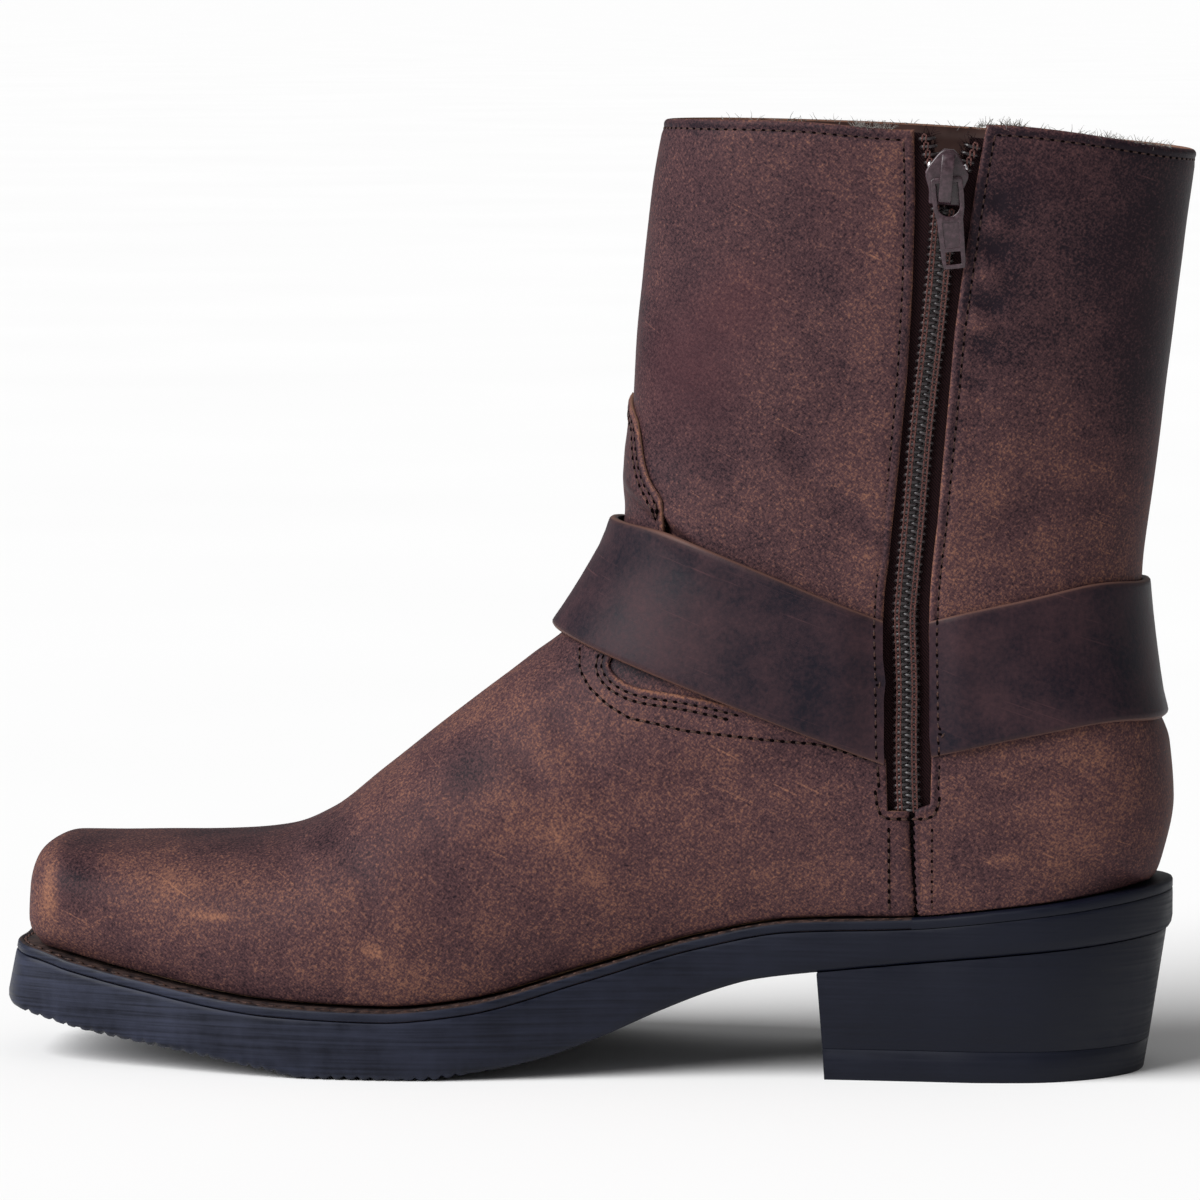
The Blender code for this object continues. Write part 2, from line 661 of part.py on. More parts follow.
def upper_sections(t):
    """Section numbers up one line of the upper, with the vamp's edge on a row of its own."""
    below = len(FOOT) * np.linspace(0.0, 1.0, UPPER_ROWS_BELOW + 1) ** TOE_CROWDING
    above = np.linspace(len(FOOT), SECTIONS, UPPER_ROWS_ABOVE + 1)
    rows = np.concatenate((below, above[1:]))
    edge = int(np.argmin(np.abs(rows - VAMP_ROW)))
    low, high = VAMP_REACH
    moved = np.interp(rows, (0.0, low, rows[edge], high, SECTIONS),
                      (0.0, low, vamp_row(t), high, SECTIONS))
    return np.insert(moved, edge, moved[edge]), edge


def make_upper():
    """The upper: one wall over the last, stepped at the vamp's edge and slit for the zip."""
    half = np.interp(np.arange(UPPER_COLUMNS[-1][0] + 1), *np.transpose(UPPER_COLUMNS))
    shares = np.concatenate((-half[:0:-1], half))
    columns = [upper_sections(t) for t in shares]
    s = np.column_stack([rows for rows, _ in columns])
    edge = columns[0][1]
    t = np.broadcast_to(shares, s.shape)
    raised = np.zeros(s.shape)
    raised[:edge + 1] = fade(np.arange(edge + 1) / edge, *VAMP_RISE_SHARES)[:, None]
    bm = bmesh.new()
    outside, inside = skin(s, t, raised * vamp_height(t)), skin(s, t, np.full(s.shape, -WALL))
    inside[0] = outside[0] + np.array((WALL, 0.0, 0.0))
    inside[:, (0, -1), 2] = outside[:, (0, -1), 2]
    sheet_solid(bm, outside, inside)
    bmesh.ops.triangulate(bm, faces=bm.faces, quad_method="SHORT_EDGE")
    upper = add_object("upper", bm, "leather")
    bm = bmesh.new()
    near, far = SLOT_DEPTH
    plate(bm, [(x, near, z) for x, z in SLOT], (0.0, far - near, 0.0))
    boolean(upper, add_object("zip_slot", bm, None), "DIFFERENCE")


def zip_place(along, across):
    """Section and share of a point of the zip, in millimetres up from its end and across."""
    start, end = np.array(ZIP_BOTTOM), np.array(ZIP_TOP)
    up = (end - start) / np.linalg.norm(end - start)
    x, z = start + up * along + np.array((up[1], -up[0])) * across
    return locate(x, z, -1)


def zip_strip(name, ends, edges, depths, material):
    """A flat strip along the zip between two distances across it, at two depths in the wall."""
    rows = []
    for along in np.linspace(*ends, ZIP_ROWS):
        rows.append([zip_place(along, across) for across in np.linspace(*edges, 3)])
    s, t = np.moveaxis(np.array(rows), 2, 0)
    bm = bmesh.new()
    sheet_solid(bm, skin(s, t, np.full(s.shape, depths[0])), skin(s, t, np.full(s.shape, depths[1])))
    add_object(name, bm, material)


def make_zip():
    """The two tapes behind the slot and the closed coil in it."""
    face = -(WALL + GAP)
    depths = face, face - ZIP_TAPE_THICKNESS
    middle = GAP / 2
    zip_strip("zip_tape_front", ZIP_TAPE_LENGTH, (-ZIP_TAPE_WIDTH, -middle), depths, "tape")
    zip_strip("zip_tape_rear", ZIP_TAPE_LENGTH, (middle, ZIP_TAPE_WIDTH), depths, "tape")
    coil = face + GAP + ZIP_COIL_THICKNESS, face + GAP
    half = ZIP_COIL_WIDTH / 2
    zip_strip("zip_coil", ZIP_COIL_LENGTH, (-half, half), coil, "coil")


def slider_matrix():
    """Place of the slider in metres: X across the zip, Y up along it, Z out of the boot."""
    s, t = zip_place(SLIDER_PLACE, 0.0)
    out = Vector(sample(NORMAL, s, t))
    up = Vector(skin(*zip_place(SLIDER_PLACE + BRIDGE_LENGTH / 2, 0.0)) - skin(s, t)).normalized()
    out = (out - up * out.dot(up)).normalized()
    place = Matrix((up.cross(out), up, out)).transposed().to_4x4()
    place.translation = Vector(skin(s, t) + AXIS_SHIFT) * MM
    return place


def make_slider(place):
    """The painted slider: a shield-shaped body with a bridge that holds the pull tab."""
    bm = bmesh.new()
    plate(bm, [(x, y, SLIDER_BACK) for x, y in SLIDER_OUTLINE], (0.0, 0.0, SLIDER_FACE - SLIDER_BACK))
    slider = add_object("zip_slider", bm, "paint", shifted=False)
    slider.matrix_world = place
    bm = bmesh.new()
    arc = np.radians(np.linspace(0.0, 180.0, ARC_POINTS))
    profile = []
    for half, rise in ((BRIDGE_LENGTH / 2, BRIDGE_HEIGHT),
                       (BRIDGE_LENGTH / 2 - BRIDGE_BAR, BRIDGE_HEIGHT - BRIDGE_BAR)):
        bow = [(half * math.cos(a), rise * math.sin(a) ** BRIDGE_SQUARENESS) for a in arc]
        run = [(half, -BRIDGE_ROOT)] + bow + [(-half, -BRIDGE_ROOT)]
        profile += run if not profile else run[::-1]
    plate(bm, [(-BRIDGE_WIDTH / 2, y, z + SLIDER_FACE) for y, z in profile], (BRIDGE_WIDTH, 0.0, 0.0))
    bridge = add_object("slider_bridge", bm, None, shifted=False)
    bridge.matrix_world = place
    boolean(slider, bridge, "UNION")


def make_pull_tab(place):
    """The tab on the bridge: a flat outline with a slot round the bridge and a square hole."""
    arc = np.radians(np.linspace(180.0, 360.0, ARC_POINTS))
    top, bottom = TAB_SLOT_ENDS
    turn = [(TAB_SLOT_HALF * math.cos(a), bottom + TAB_SLOT_HALF * (1 + math.sin(a))) for a in arc]
    slot = [(-TAB_SLOT_HALF, top)] + turn + [(TAB_SLOT_HALF, top)]
    flat = bpy.data.curves.new("zip_pull_tab", "CURVE")
    flat.dimensions = "2D"
    flat.fill_mode = "BOTH"
    flat.extrude = TAB_THICKNESS / 2 * MM
    for outline in (TAB_OUTLINE, slot, TAB_HOLE):
        spline = flat.splines.new("POLY")
        spline.points.add(len(outline) - 1)
        for point, (x, y) in zip(spline.points, outline):
            point.co = (x * MM, y * MM, 0.0, 1.0)
        spline.use_cyclic_u = True
    tab = bpy.data.objects.new("zip_pull_tab", flat)
    flat.materials.append(finish("paint"))
    PARTS.objects.link(tab)
    tab.matrix_world = place @ Matrix.Translation(Vector((0.0, TAB_AXIS_ALONG, TAB_AXIS_OUT)) * MM)


def ring_axes():
    """Centre of the ring and its axes: X towards the toe, Y up, Z out of the boot."""
    s, t = locate(*RING_CENTRE, 1)
    out = sample(NORMAL, s, t)
    across = np.array((-1.0, 0.0, 0.0))
    across = across - out * (across @ out)
    across /= np.linalg.norm(across)
    return skin(s, t, RING_STANDOFF), across, np.cross(out, across), out


def make_ring():
    """The harness ring on the outer side."""
    centre, across, up, out = ring_axes()
    bpy.ops.mesh.primitive_torus_add(major_radius=RING_RADIUS * MM, minor_radius=RING_WIRE * MM,
                                     major_segments=RING_SEGMENTS, minor_segments=WIRE_SEGMENTS)
    ring = bpy.context.object
    ring.name = "harness_ring"
    ring.data.materials.append(finish("ring"))
    ring.data.shade_smooth()
    for owner in list(ring.users_collection):
        owner.objects.unlink(ring)
    PARTS.objects.link(ring)
    place = Matrix(np.column_stack((across, up, out)).tolist()).to_4x4()
    place.translation = Vector(centre + AXIS_SHIFT) * MM
    ring.matrix_world = place


def ring_loop(name):
    """Rows of a strap's two faces where it wraps the ring, coming in under the wire."""
    centre, across, up, out = ring_axes()
    (forward, upward), order = STRAP_LOOPS[name]
    middle = math.atan2(upward, forward)
    spreads = order * np.linspace(-LOOP_SPREAD / 2, LOOP_SPREAD / 2, STRAP_ACROSS + 1)
    faces = []
    for radius in (LOOP_INSIDE, LOOP_INSIDE + STRAP_THICKNESS):
        rows = []
        for angle in LOOP_ANGLES:
            row = []
            for spread in spreads:
                radial = across * math.cos(middle + spread) + up * math.sin(middle + spread)
                wire = centre + radial * RING_RADIUS
                row.append(wire + radius * (radial * math.cos(angle) + out * math.sin(angle)))
            rows.append(row)
        faces.append(np.array(rows))
    return faces


def strap_row(t, edges):
    """Section numbers across a strap at share t, between its edges as seen from the side."""
    side = "inner" if t < 0 else "outer"
    low, high = curve(edges[side + "_low"]), curve(edges[side + "_high"])
    lift = vamp_height(t) + STRAP_CLEARANCE + STRAP_THICKNESS
    line = skin(S_STEPS, np.full_like(S_STEPS, t), np.full_like(S_STEPS, lift))
    ankle = slice(int(np.searchsorted(S_STEPS, VAMP_REACH[0])), None)
    rows = []
    for share in np.linspace(0.0, 1.0, STRAP_ACROSS + 1):
        wanted = low(line[:, 0]) * (1 - share) + high(line[:, 0]) * share
        rows.append(np.interp(0.0, (line[:, 2] - wanted)[ankle], S_STEPS[ankle]))
    return rows


def add_strap(name, s, t):
    """Make a strap from a grid of sections and shares that ends in its loop on the ring."""
    loop = ring_loop(name)
    low = vamp_height(t) + STRAP_CLEARANCE
    top = np.concatenate((skin(s, t, low + STRAP_THICKNESS), loop[0]))
    bottom = np.concatenate((skin(s, t, low), loop[1]))
    bm = bmesh.new()
    sheet_solid(bm, top, bottom)
    add_object(name, bm, "strap")


def end_shares(edges, side):
    """Shares at which a strap's low and high edge end away from the front or back of the boot."""
    ends = [min(edges[side + edge], key=lambda point: abs(point[0] - RING_CENTRE[0]))
            for edge in ("_low", "_high")]
    sign = -1 if side == "inner" else 1
    return np.array([locate(*point, sign)[1] for point in np.linspace(*ends, STRAP_ACROSS + 1)])


def make_straps():
    """The harness: straps round front and back from zip to ring, and one down to the welt."""
    for name, edges, middle in (("strap_front", FRONT_STRAP, 0.0), ("strap_back", BACK_STRAP, 1.0)):
        zip_end, ring_end = end_shares(edges, "inner"), end_shares(edges, "outer")
        steps = np.linspace(0.0, 1.0, STRAP_STEPS)[:, None]
        inner = zip_end + (-middle - zip_end) * steps
        outer = middle + (ring_end - middle) * steps
        t = np.vstack((inner, outer[1:]))
        s = np.array([[strap_row(share, edges)[k] for k, share in enumerate(row)] for row in t])
        add_strap(name, s, t)
    top, foot = np.array(LOWER_STRAP["top"]), np.array(LOWER_STRAP["foot"])
    rows = []
    for share in np.linspace(0.0, 1.0, LOWER_STRAP["rows"]):
        x, z = foot + (top - foot) * share
        spread = np.linspace(-1.0, 1.0, STRAP_ACROSS + 1) * LOWER_STRAP["half_width"]
        rows.append([locate(x + across, z, 1) for across in spread])
    s, t = np.moveaxis(np.array(rows), 2, 0)
    add_strap("strap_lower", s, t)


make_outsole()
make_edge_strips()
make_heel()
make_insole()
make_upper()
make_zip()
slider_place = slider_matrix()
make_slider(slider_place)
make_pull_tab(slider_place)
make_ring()
make_straps()
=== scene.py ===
"""Looks of a harness boot for the right foot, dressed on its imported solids.

The toe points to -X, the inner side of the foot with the zip faces -Y, and +Z is up. Sizes are in
millimetres from the heel's axis, as a boot maker would measure them, and become metres in each mesh.
"""
import math

import bmesh
import bpy
import numpy as np
from mathutils import Matrix, Vector, noise
from mathutils.bvhtree import BVHTree


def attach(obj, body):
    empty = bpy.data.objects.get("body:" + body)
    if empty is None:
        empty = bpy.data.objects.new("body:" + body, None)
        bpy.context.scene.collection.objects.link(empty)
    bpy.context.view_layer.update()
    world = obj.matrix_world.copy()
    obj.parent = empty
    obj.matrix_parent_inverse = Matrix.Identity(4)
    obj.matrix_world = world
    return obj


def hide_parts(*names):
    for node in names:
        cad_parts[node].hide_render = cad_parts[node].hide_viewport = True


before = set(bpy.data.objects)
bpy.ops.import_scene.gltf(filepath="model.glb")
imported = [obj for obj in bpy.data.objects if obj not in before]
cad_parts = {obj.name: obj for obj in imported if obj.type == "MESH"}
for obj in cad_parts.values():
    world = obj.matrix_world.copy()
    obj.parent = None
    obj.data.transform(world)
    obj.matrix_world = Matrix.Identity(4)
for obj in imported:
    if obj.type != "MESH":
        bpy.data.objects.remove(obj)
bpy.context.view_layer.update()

# Outsole: one full-length sole of black rubber with toe spring and arch, cemented under the welt.
# Its edge is ground, waxed and brushed along its length, and the tread is cut in fine ripples.
MM = 0.001
# from the heel's axis to the frame's origin
AXIS_SHIFT = np.array((1.0, -3.7, 0.0))
SOLE_OUTLINE = (
    # x, inner half-width, outer half-width
    (-154.8, 13.0, 15.0), (-151.6, 20.0, 22.0), (-140.0, 26.5, 28.5), (-120.0, 33.5, 36.0),
    (-100.0, 40.0, 43.5), (-80.0, 44.5, 49.0), (-60.0, 46.5, 52.5), (-40.0, 46.0, 54.0),
    (-20.0, 42.5, 53.0), (0.0, 38.0, 50.0), (25.0, 34.0, 44.5), (50.0, 33.0, 39.0),
    (84.0, 33.6, 35.8), (105.0, 34.0, 35.0), (125.0, 30.5, 31.0), (140.0, 20.5, 21.0),
    (147.0, 10.5, 10.5),
)
SOLE_ENDS_X = (-155.3, 149.0)
SEAT = (
    # x, z of the face that the upper stands on
    (-156.0, 31.0), (-143.0, 28.9), (-119.0, 24.2), (-80.0, 18.8), (-52.0, 18.0), (-31.0, 19.9),
    (0.0, 28.2), (28.0, 36.4), (52.0, 41.0), (82.0, 42.3), (110.0, 45.2), (149.0, 50.0),
)
TREAD = (
    # x, z of the face that meets the floor
    (-156.0, 14.4), (-133.0, 9.2), (-103.0, 5.0), (-84.0, 2.0), (-71.0, 0.0), (-42.0, 0.0),
    (-31.0, 1.4), (-13.0, 4.9), (3.5, 10.6), (19.5, 17.6), (33.0, 22.8), (43.0, 25.6), (58.0, 27.6),
    (149.0, 36.7),
)
WELT_THICKNESS = 2.7
# glue between upper, welt and sole
GAP = 0.3
SOLE_EDGE = (
    # inset, rise, measured from the top
    (2.0, 0.0, False), (0.9, 0.35, False), (0.3, 1.3, False), (0.0, 3.0, False),
    (0.0, 1.2, True), (0.05, 0.4, True), (0.2, 0.1, True), (0.8, 0.0, True),
)
# the dressed joint that still shows between two pieces of the edge
JOINT = 0.06
# how far the edge leans back at the toe for each millimetre of height, and where it starts to
TOE_LEAN = 0.2
TOE_LEAN_X = (-135.0, -150.0)
RIPPLE_PITCH = 3.6
RIPPLE_DEPTH = 0.9
RIPPLE_X = (-152.0, -20.0)
RIPPLE_FADE = (6.0, 12.0)
RIPPLE_CUT = (0.55, 0.95)
STATIONS = 300


def curve(rows):
    """A smooth function through a table's rows that doesn't overshoot between them."""
    xs, ys = np.array(rows, float)[:, :2].T
    slope = np.diff(ys) / np.diff(xs)
    tangent = np.zeros_like(ys)
    for i in range(1, len(xs) - 1):
        if slope[i - 1] * slope[i] > 0:
            tangent[i] = 2.0 / (1.0 / slope[i - 1] + 1.0 / slope[i])
    tangent[0], tangent[-1] = slope[0], slope[-1]

    def at(x):
        i = np.clip(np.searchsorted(xs, x) - 1, 0, len(xs) - 2)
        width = xs[i + 1] - xs[i]
        u = np.clip((x - xs[i]) / width, 0.0, 1.0)
        start = (1 + 2 * u) * (1 - u) ** 2 * ys[i] + u * (1 - u) ** 2 * width * tangent[i]
        end = u ** 2 * (3 - 2 * u) * ys[i + 1] + u ** 2 * (u - 1) * width * tangent[i + 1]
        return start + end

    return at


def fade(x, start, end):
    """Rise smoothly from 0 at start to 1 at end."""
    u = np.clip((x - start) / (end - start), 0.0, 1.0)
    return u * u * (3 - 2 * u)


def unit(vectors):
    """Vectors drawn out or in to length 1."""
    return vectors / np.linalg.norm(vectors, axis=-1, keepdims=True)


def run_length(points):
    """The length along a line of points, up to each of them."""
    return np.concatenate(((0.0,), np.cumsum(np.linalg.norm(np.diff(points, axis=0), axis=1))))


def at_shares(points, shares):
    """Points at shares of the length of a line of points."""
    run = run_length(points)
    return np.column_stack([np.interp(shares * run[-1], run, values) for values in points.T])


def evenly(points, count):
    """Points at even lengths along a line of points."""
    return at_shares(points, np.linspace(0.0, 1.0, count))


def sole_sides():
    """The sole's outline seen from above: its inner and its outer side, both from toe to heel."""
    rows = np.array(SOLE_OUTLINE)
    toe_middle = (rows[0, 2] - rows[0, 1]) / 2
    inner = np.column_stack((rows[:, 0], -rows[:, 1]))
    outer = np.column_stack((rows[:, 0], rows[:, 2]))[::-1]
    knots = np.vstack(((SOLE_ENDS_X[0], toe_middle), inner, (SOLE_ENDS_X[1], 0.0), outer))
    before, after = np.roll(knots, 1, axis=0), np.roll(knots, -1, axis=0)
    reach = np.linalg.norm(after - knots, axis=1)[:, None]
    back_reach = np.roll(reach, 1, axis=0)
    pull = (knots - before) / back_reach * reach + (after - knots) / reach * back_reach
    tangent = pull / (reach + back_reach)
    u = np.linspace(0.0, 1.0, 16, endpoint=False)[None, :, None]
    begin, finish = knots[:, None], after[:, None]
    leave, arrive = (tangent * reach)[:, None], (np.roll(tangent, -1, axis=0) * reach)[:, None]
    loop = ((1 + 2 * u) * (1 - u) ** 2 * begin + u * (1 - u) ** 2 * leave
            + u ** 2 * (3 - 2 * u) * finish + u ** 2 * (u - 1) * arrive).reshape(-1, 2)
    heel = int(np.argmax(loop[:, 0]))
    return evenly(loop[:heel + 1], STATIONS), evenly(np.vstack((loop[heel:], loop[:1]))[::-1], STATIONS)


def inset(pair, distance):
    """Move an outline's two sides inwards by a distance, which may follow x."""
    loop = np.vstack((pair[0], pair[1][-2:0:-1]))
    along = unit(np.roll(loop, -1, axis=0) - np.roll(loop, 1, axis=0))
    far = distance(loop[:, 0])[:, None] if callable(distance) else distance
    moved = loop + np.column_stack((-along[:, 1], along[:, 0])) * far
    return moved[:STATIONS], np.vstack((moved[:1], moved[:STATIONS - 2:-1]))


def grid(columns, rows, layers=()):
    """A flat grid of quads, with each vertex's column and row."""
    bm = bmesh.new()
    for layer in layers:
        bm.verts.layers.float.new(layer)
    verts = bmesh.ops.create_grid(bm, x_segments=columns, y_segments=rows, size=0.5)["verts"]
    place = np.array([v.co[:2] for v in verts]) + 0.5
    return bm, verts, np.rint(place[:, 0] * columns).astype(int), np.rint(place[:, 1] * rows).astype(int)


def lay(verts, points):
    """Move vertices to an array of points."""
    for vert, point in zip(verts, points.tolist()):
        vert.co = point


def join(bm, other):
    """Add another bmesh to this one."""
    mesh = bpy.data.meshes.new("joined")
    other.to_mesh(mesh)
    other.free()
    bm.from_mesh(mesh)
    bpy.data.meshes.remove(mesh)


def stacked(levels, across):
    """A closed solid through levels, each an inner and an outer side from front to back."""
    rings = np.array([np.vstack((inner, outer[::-1])) for inner, outer in levels])
    bm, verts, column, row = grid(rings.shape[1], len(levels) - 1)
    lay(verts, rings[row, column % rings.shape[1]])
    for inner, outer in (levels[0], levels[-1]):
        cap, verts, column, row = grid(across, len(inner) - 1)
        share = (column / across)[:, None]
        lay(verts, inner[row] * (1 - share) + outer[row] * share)
        join(bm, cap)
    return bm


def add_piece(name, bm, materials, body="boot", replaced=(), slot=None, closed=True):
    """Make a bmesh in millimetres into a piece in metres that rides on a body."""
    bmesh.ops.remove_doubles(bm, verts=bm.verts, dist=1e-3)
    bmesh.ops.dissolve_degenerate(bm, edges=bm.edges, dist=1e-4)
    if closed:
        bmesh.ops.recalc_face_normals(bm, faces=bm.faces)
    bmesh.ops.translate(bm, verts=bm.verts, vec=AXIS_SHIFT)
    bmesh.ops.scale(bm, verts=bm.verts, vec=(MM, MM, MM))
    mesh = bpy.data.meshes.new(name)
    bm.to_mesh(mesh)
    bm.free()
    mesh.shade_smooth()
    mesh.set_sharp_from_angle(angle=math.radians(50))
    for material in materials:
        mesh.materials.append(material)
    piece = bpy.data.objects.new(name, mesh)
    bpy.context.scene.collection.objects.link(piece)
    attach(piece, body)
    if replaced:
        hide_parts(*replaced)
    return piece


def linear(colour):
    """An sRGB hex colour as linear red, green, blue and alpha."""
    parts = [int(colour[i:i + 2], 16) / 255 for i in (1, 3, 5)]
    return [c / 12.92 if c <= 0.04045 else ((c + 0.055) / 1.055) ** 2.4 for c in parts] + [1.0]


def node(tree, kind, inputs=(), **settings):
    """Add a node with its settings, and set or link its inputs."""
    made = tree.nodes.new("ShaderNode" + kind)
    for name, value in settings.items():
        setattr(made, name, value)
    for name, value in dict(inputs).items():
        if isinstance(value, bpy.types.NodeSocket):
            tree.links.new(value, made.inputs[name])
        else:
            made.inputs[name].default_value = value
    return made


def new_material(name, **shader):
    """A Principled material with constants on its sockets, its tree, its shader and its coordinates."""
    material = bpy.data.materials.new(name)
    material.use_nodes = True
    tree = material.node_tree
    principled = tree.nodes["Principled BSDF"]
    for socket, value in shader.items():
        principled.inputs[socket.replace("_", " ").title().replace("Ior", "IOR")].default_value = value
    return material, tree, principled, node(tree, "TexCoord").outputs["Object"]


def clouds(tree, place, size, detail, rough=0.5):
    """Cloudy noise with spots of a size in metres."""
    sockets = {"Vector": place, "Scale": 1 / size, "Detail": detail, "Roughness": rough}
    return node(tree, "TexNoise", sockets).outputs[0]


def drawn_out(tree, place, turn, size):
    """Coordinates that are turned and then counted in lengths of a size, for streaks of that size."""
    sockets = {"Vector": place, "Rotation": turn, "Scale": size}
    return node(tree, "Mapping", sockets, vector_type="TEXTURE").outputs[0]


def spread(tree, value, low, high, first=0.0, last=1.0):
    """Values from low to high, spread from first to last."""
    return node(tree, "MapRange", {0: value, 1: low, 2: high, 3: first, 4: last}).outputs[0]


def worked_out(tree, operation, *values):
    """The result of an operation on values."""
    return node(tree, "Math", dict(enumerate(values)), operation=operation).outputs[0]


def mixed(tree, share, dark, light):
    """A colour between two others, each an sRGB hex colour or another mix."""
    dark, light = (linear(end) if isinstance(end, str) else end for end in (dark, light))
    return node(tree, "Mix", {0: share, 6: dark, 7: light}, data_type="RGBA").outputs[2]


def dress(tree, shader, colour, gloss=None, height=None, strength=0.0, distance=0.0):
    """Link a shader's colour and, where it has them, its roughness and its relief."""
    tree.links.new(colour, shader.inputs["Base Color"])
    if gloss is not None:
        tree.links.new(gloss, shader.inputs["Roughness"])
    if height is not None:
        relief = node(tree, "Bump", {"Height": height, "Strength": strength, "Distance": distance})
        tree.links.new(relief.outputs[0], shader.inputs["Normal"])


def grained(name, size, dark, light, detail, rough=0.5, shade=None, gloss=None, bump=None, **shader):
    """A material of two colours in cloudy grain, which may also set its roughness and its relief."""
    material, tree, principled, coords = new_material(name, **shader)
    grain = clouds(tree, coords, size, detail, rough)
    share = spread(tree, grain, *shade) if shade else grain
    dress(tree, principled, mixed(tree, share, dark, light), spread(tree, grain, *gloss) if gloss else None,
          grain if bump else None, *(bump or ()))
    return material


seat, tread = curve(SEAT), curve(TREAD)
SOLE_SIDES = sole_sides()


def rippled(x):
    """The tread with its ripples, cut upwards into the sole."""
    wave = np.abs((x / RIPPLE_PITCH) % 1.0 - 0.5) * 2
    (front, rear), (rise, fall) = RIPPLE_X, RIPPLE_FADE
    zone = fade(x, front, front + rise) * fade(x, rear, rear - fall)
    return tread(x) + RIPPLE_DEPTH * zone * fade(wave, *RIPPLE_CUT)


def lean(points):
    """Lean the sole's edge back at the toe."""
    x, z = points[..., 0], points[..., 2]
    back = TOE_LEAN * (z - tread(x)) * fade(x, *TOE_LEAN_X)
    return points + back[..., None] * np.array((1.0, 0.0, 0.0))


# dressed rubber: ground on a wheel, waxed and brushed, so it is near black with a soft long sheen
rubber, tree, shader, coords = new_material("dressed_rubber", specular_ior_level=0.2)
# brush marks about 30 mm long and 0.7 mm apart, drawn coarser than real ones so that they show
marks = clouds(tree, drawn_out(tree, coords, (0.0, 0.0, 0.0), (0.030, 0.030, 0.0007)), 1.0, 3.0)
both = worked_out(tree, "ADD", marks, clouds(tree, coords, 0.014, 5.0, 0.65))
# painted light: the rubber is painted lighter towards the toe, where the light comes from, and darker
# towards the heel as painted shade
toe_to_heel = node(tree, "SeparateXYZ", {0: coords}).outputs[0]
painted_light_falloff = spread(tree, toe_to_heel, -0.15, 0.08, 1.2, 0.1)
grey = worked_out(tree, "MULTIPLY", spread(tree, both, 0.72, 1.35), painted_light_falloff)
dress(tree, shader, mixed(tree, grey, "#060917", "#292d3e"), spread(tree, both, 0.7, 1.3, 0.36, 0.62),
      both, 0.15, 0.0004)

levels = []
for move, rise, from_top in SOLE_EDGE:
    level = []
    for side in inset(SOLE_SIDES, move):
        x = side[:, 0]
        height = seat(x) - WELT_THICKNESS - GAP - JOINT - rise if from_top else rippled(x) + rise
        level.append(lean(np.column_stack((side, height))))
    levels.append(level)
add_piece("outsole_rubber", stacked(levels, 14), [rubber], replaced=["outsole"])

# Heel: lifts glued and nailed under the sole and dressed as one smooth black block, with a rubber
# top lift that meets the floor. Both are raked in towards the floor.
HEEL_BREAST_X = 59.0
HEEL_BREAST_RAKE = 2.0
HEEL_BACK_X = 147.4
HEEL_BACK_RAKE = 5.6
HEEL_SIDE_INSET = 0.7
HEEL_SIDE_RAKE = 0.8
HEEL_HEIGHT = 33.0
TOP_LIFT = 8.0
LIFT_EDGE = 0.08


def half_widths(pair, x):
    """How far an outline reaches to the inner and the outer side at x."""
    inner, outer = pair
    return np.interp(x, inner[:, 0], -inner[:, 1]), np.interp(x, outer[:, 0], outer[:, 1])


def heel_level(height, tucked=0.0, top=None):
    """The heel's two sides at a height, drawn in towards the floor."""
    drop = 1.0 - height / HEEL_HEIGHT
    front = HEEL_BREAST_X + HEEL_BREAST_RAKE * drop + tucked
    back = HEEL_BACK_X - HEEL_BACK_RAKE * drop - tucked
    share = np.sin(np.linspace(0.0, math.pi / 2, 70))
    reach = half_widths(SOLE_SIDES, HEEL_BREAST_X + (SOLE_ENDS_X[1] - HEEL_BREAST_X) * share)
    narrow = HEEL_SIDE_INSET + HEEL_SIDE_RAKE * drop + tucked
    x = front + (back - front) * share
    z = np.full_like(x, height) if top is None else top(x)
    return [np.column_stack((x, sign * np.maximum(width - narrow * np.sqrt(1.0 - share ** 2), 0.0), z))
            for sign, width in zip((-1.0, 1.0), reach)]


for name, low, high in (("heel_lifts", TOP_LIFT + JOINT, None), ("heel_top_lift", 0.0, TOP_LIFT)):
    levels = [heel_level(low, LIFT_EDGE), heel_level(low + LIFT_EDGE)]
    if high:
        levels += [heel_level(high - LIFT_EDGE), heel_level(high, LIFT_EDGE)]
    else:
        for below, tucked in ((0.5, 0.0), (0.0, LIFT_EDGE)):
            levels.append(heel_level(HEEL_HEIGHT, tucked, lambda x, below=below: tread(x) - JOINT - below))
    add_piece(name, stacked(levels, 12), [rubber],
              replaced=["heel_cap" if high else "heel_block"])

# Welt: a strip of dark oiled leather round the foot from one side of the zip to the other, with
# a groove for the lock stitches that hold it to the sole. A smooth rubber rand carries it on
# round the heel.
WELT_WIDTH = (
    # x, how far the welt stands out from the upper
    (-156.0, 7.4), (-140.0, 6.4), (-100.0, 5.2), (-40.0, 5.0), (20.0, 3.0), (60.0, 2.2), (110.0, 2.6),
    (135.0, 4.2), (149.0, 5.4),
)
WELT_INSIDE = 9.0
WELT_END_X = 84.0
WELT_SECTION = (
    # distance in from the edge, height
    (1.0, 0.0), (0.25, 0.25), (0.0, 0.7), (0.0, 2.0), (0.2, 2.45), (0.7, 2.7), (1.2, 2.72),
    (1.55, 2.35), (2.0, 2.35), (2.4, 2.7), (11.0, 2.7), (11.0, 0.0),
)
RAND_SECTION = (
    (1.0, 0.0), (0.08, 0.04), (0.0, 0.2), (0.0, 1.9), (0.25, 2.4), (0.9, 2.7), (3.0, 2.7), (11.0, 2.7),
    (11.0, 0.0),
)
# pitch, length, radius and tilt of a stitch, and the row's distance from the edge and from the top
WELT_STITCH = (3.5, 3.1, 0.5, 0.25)
WELT_ROW = (1.8, 0.25)
# the welt's side, steeper than this, is inked black with the sole
INKED_SLOPE = 0.7

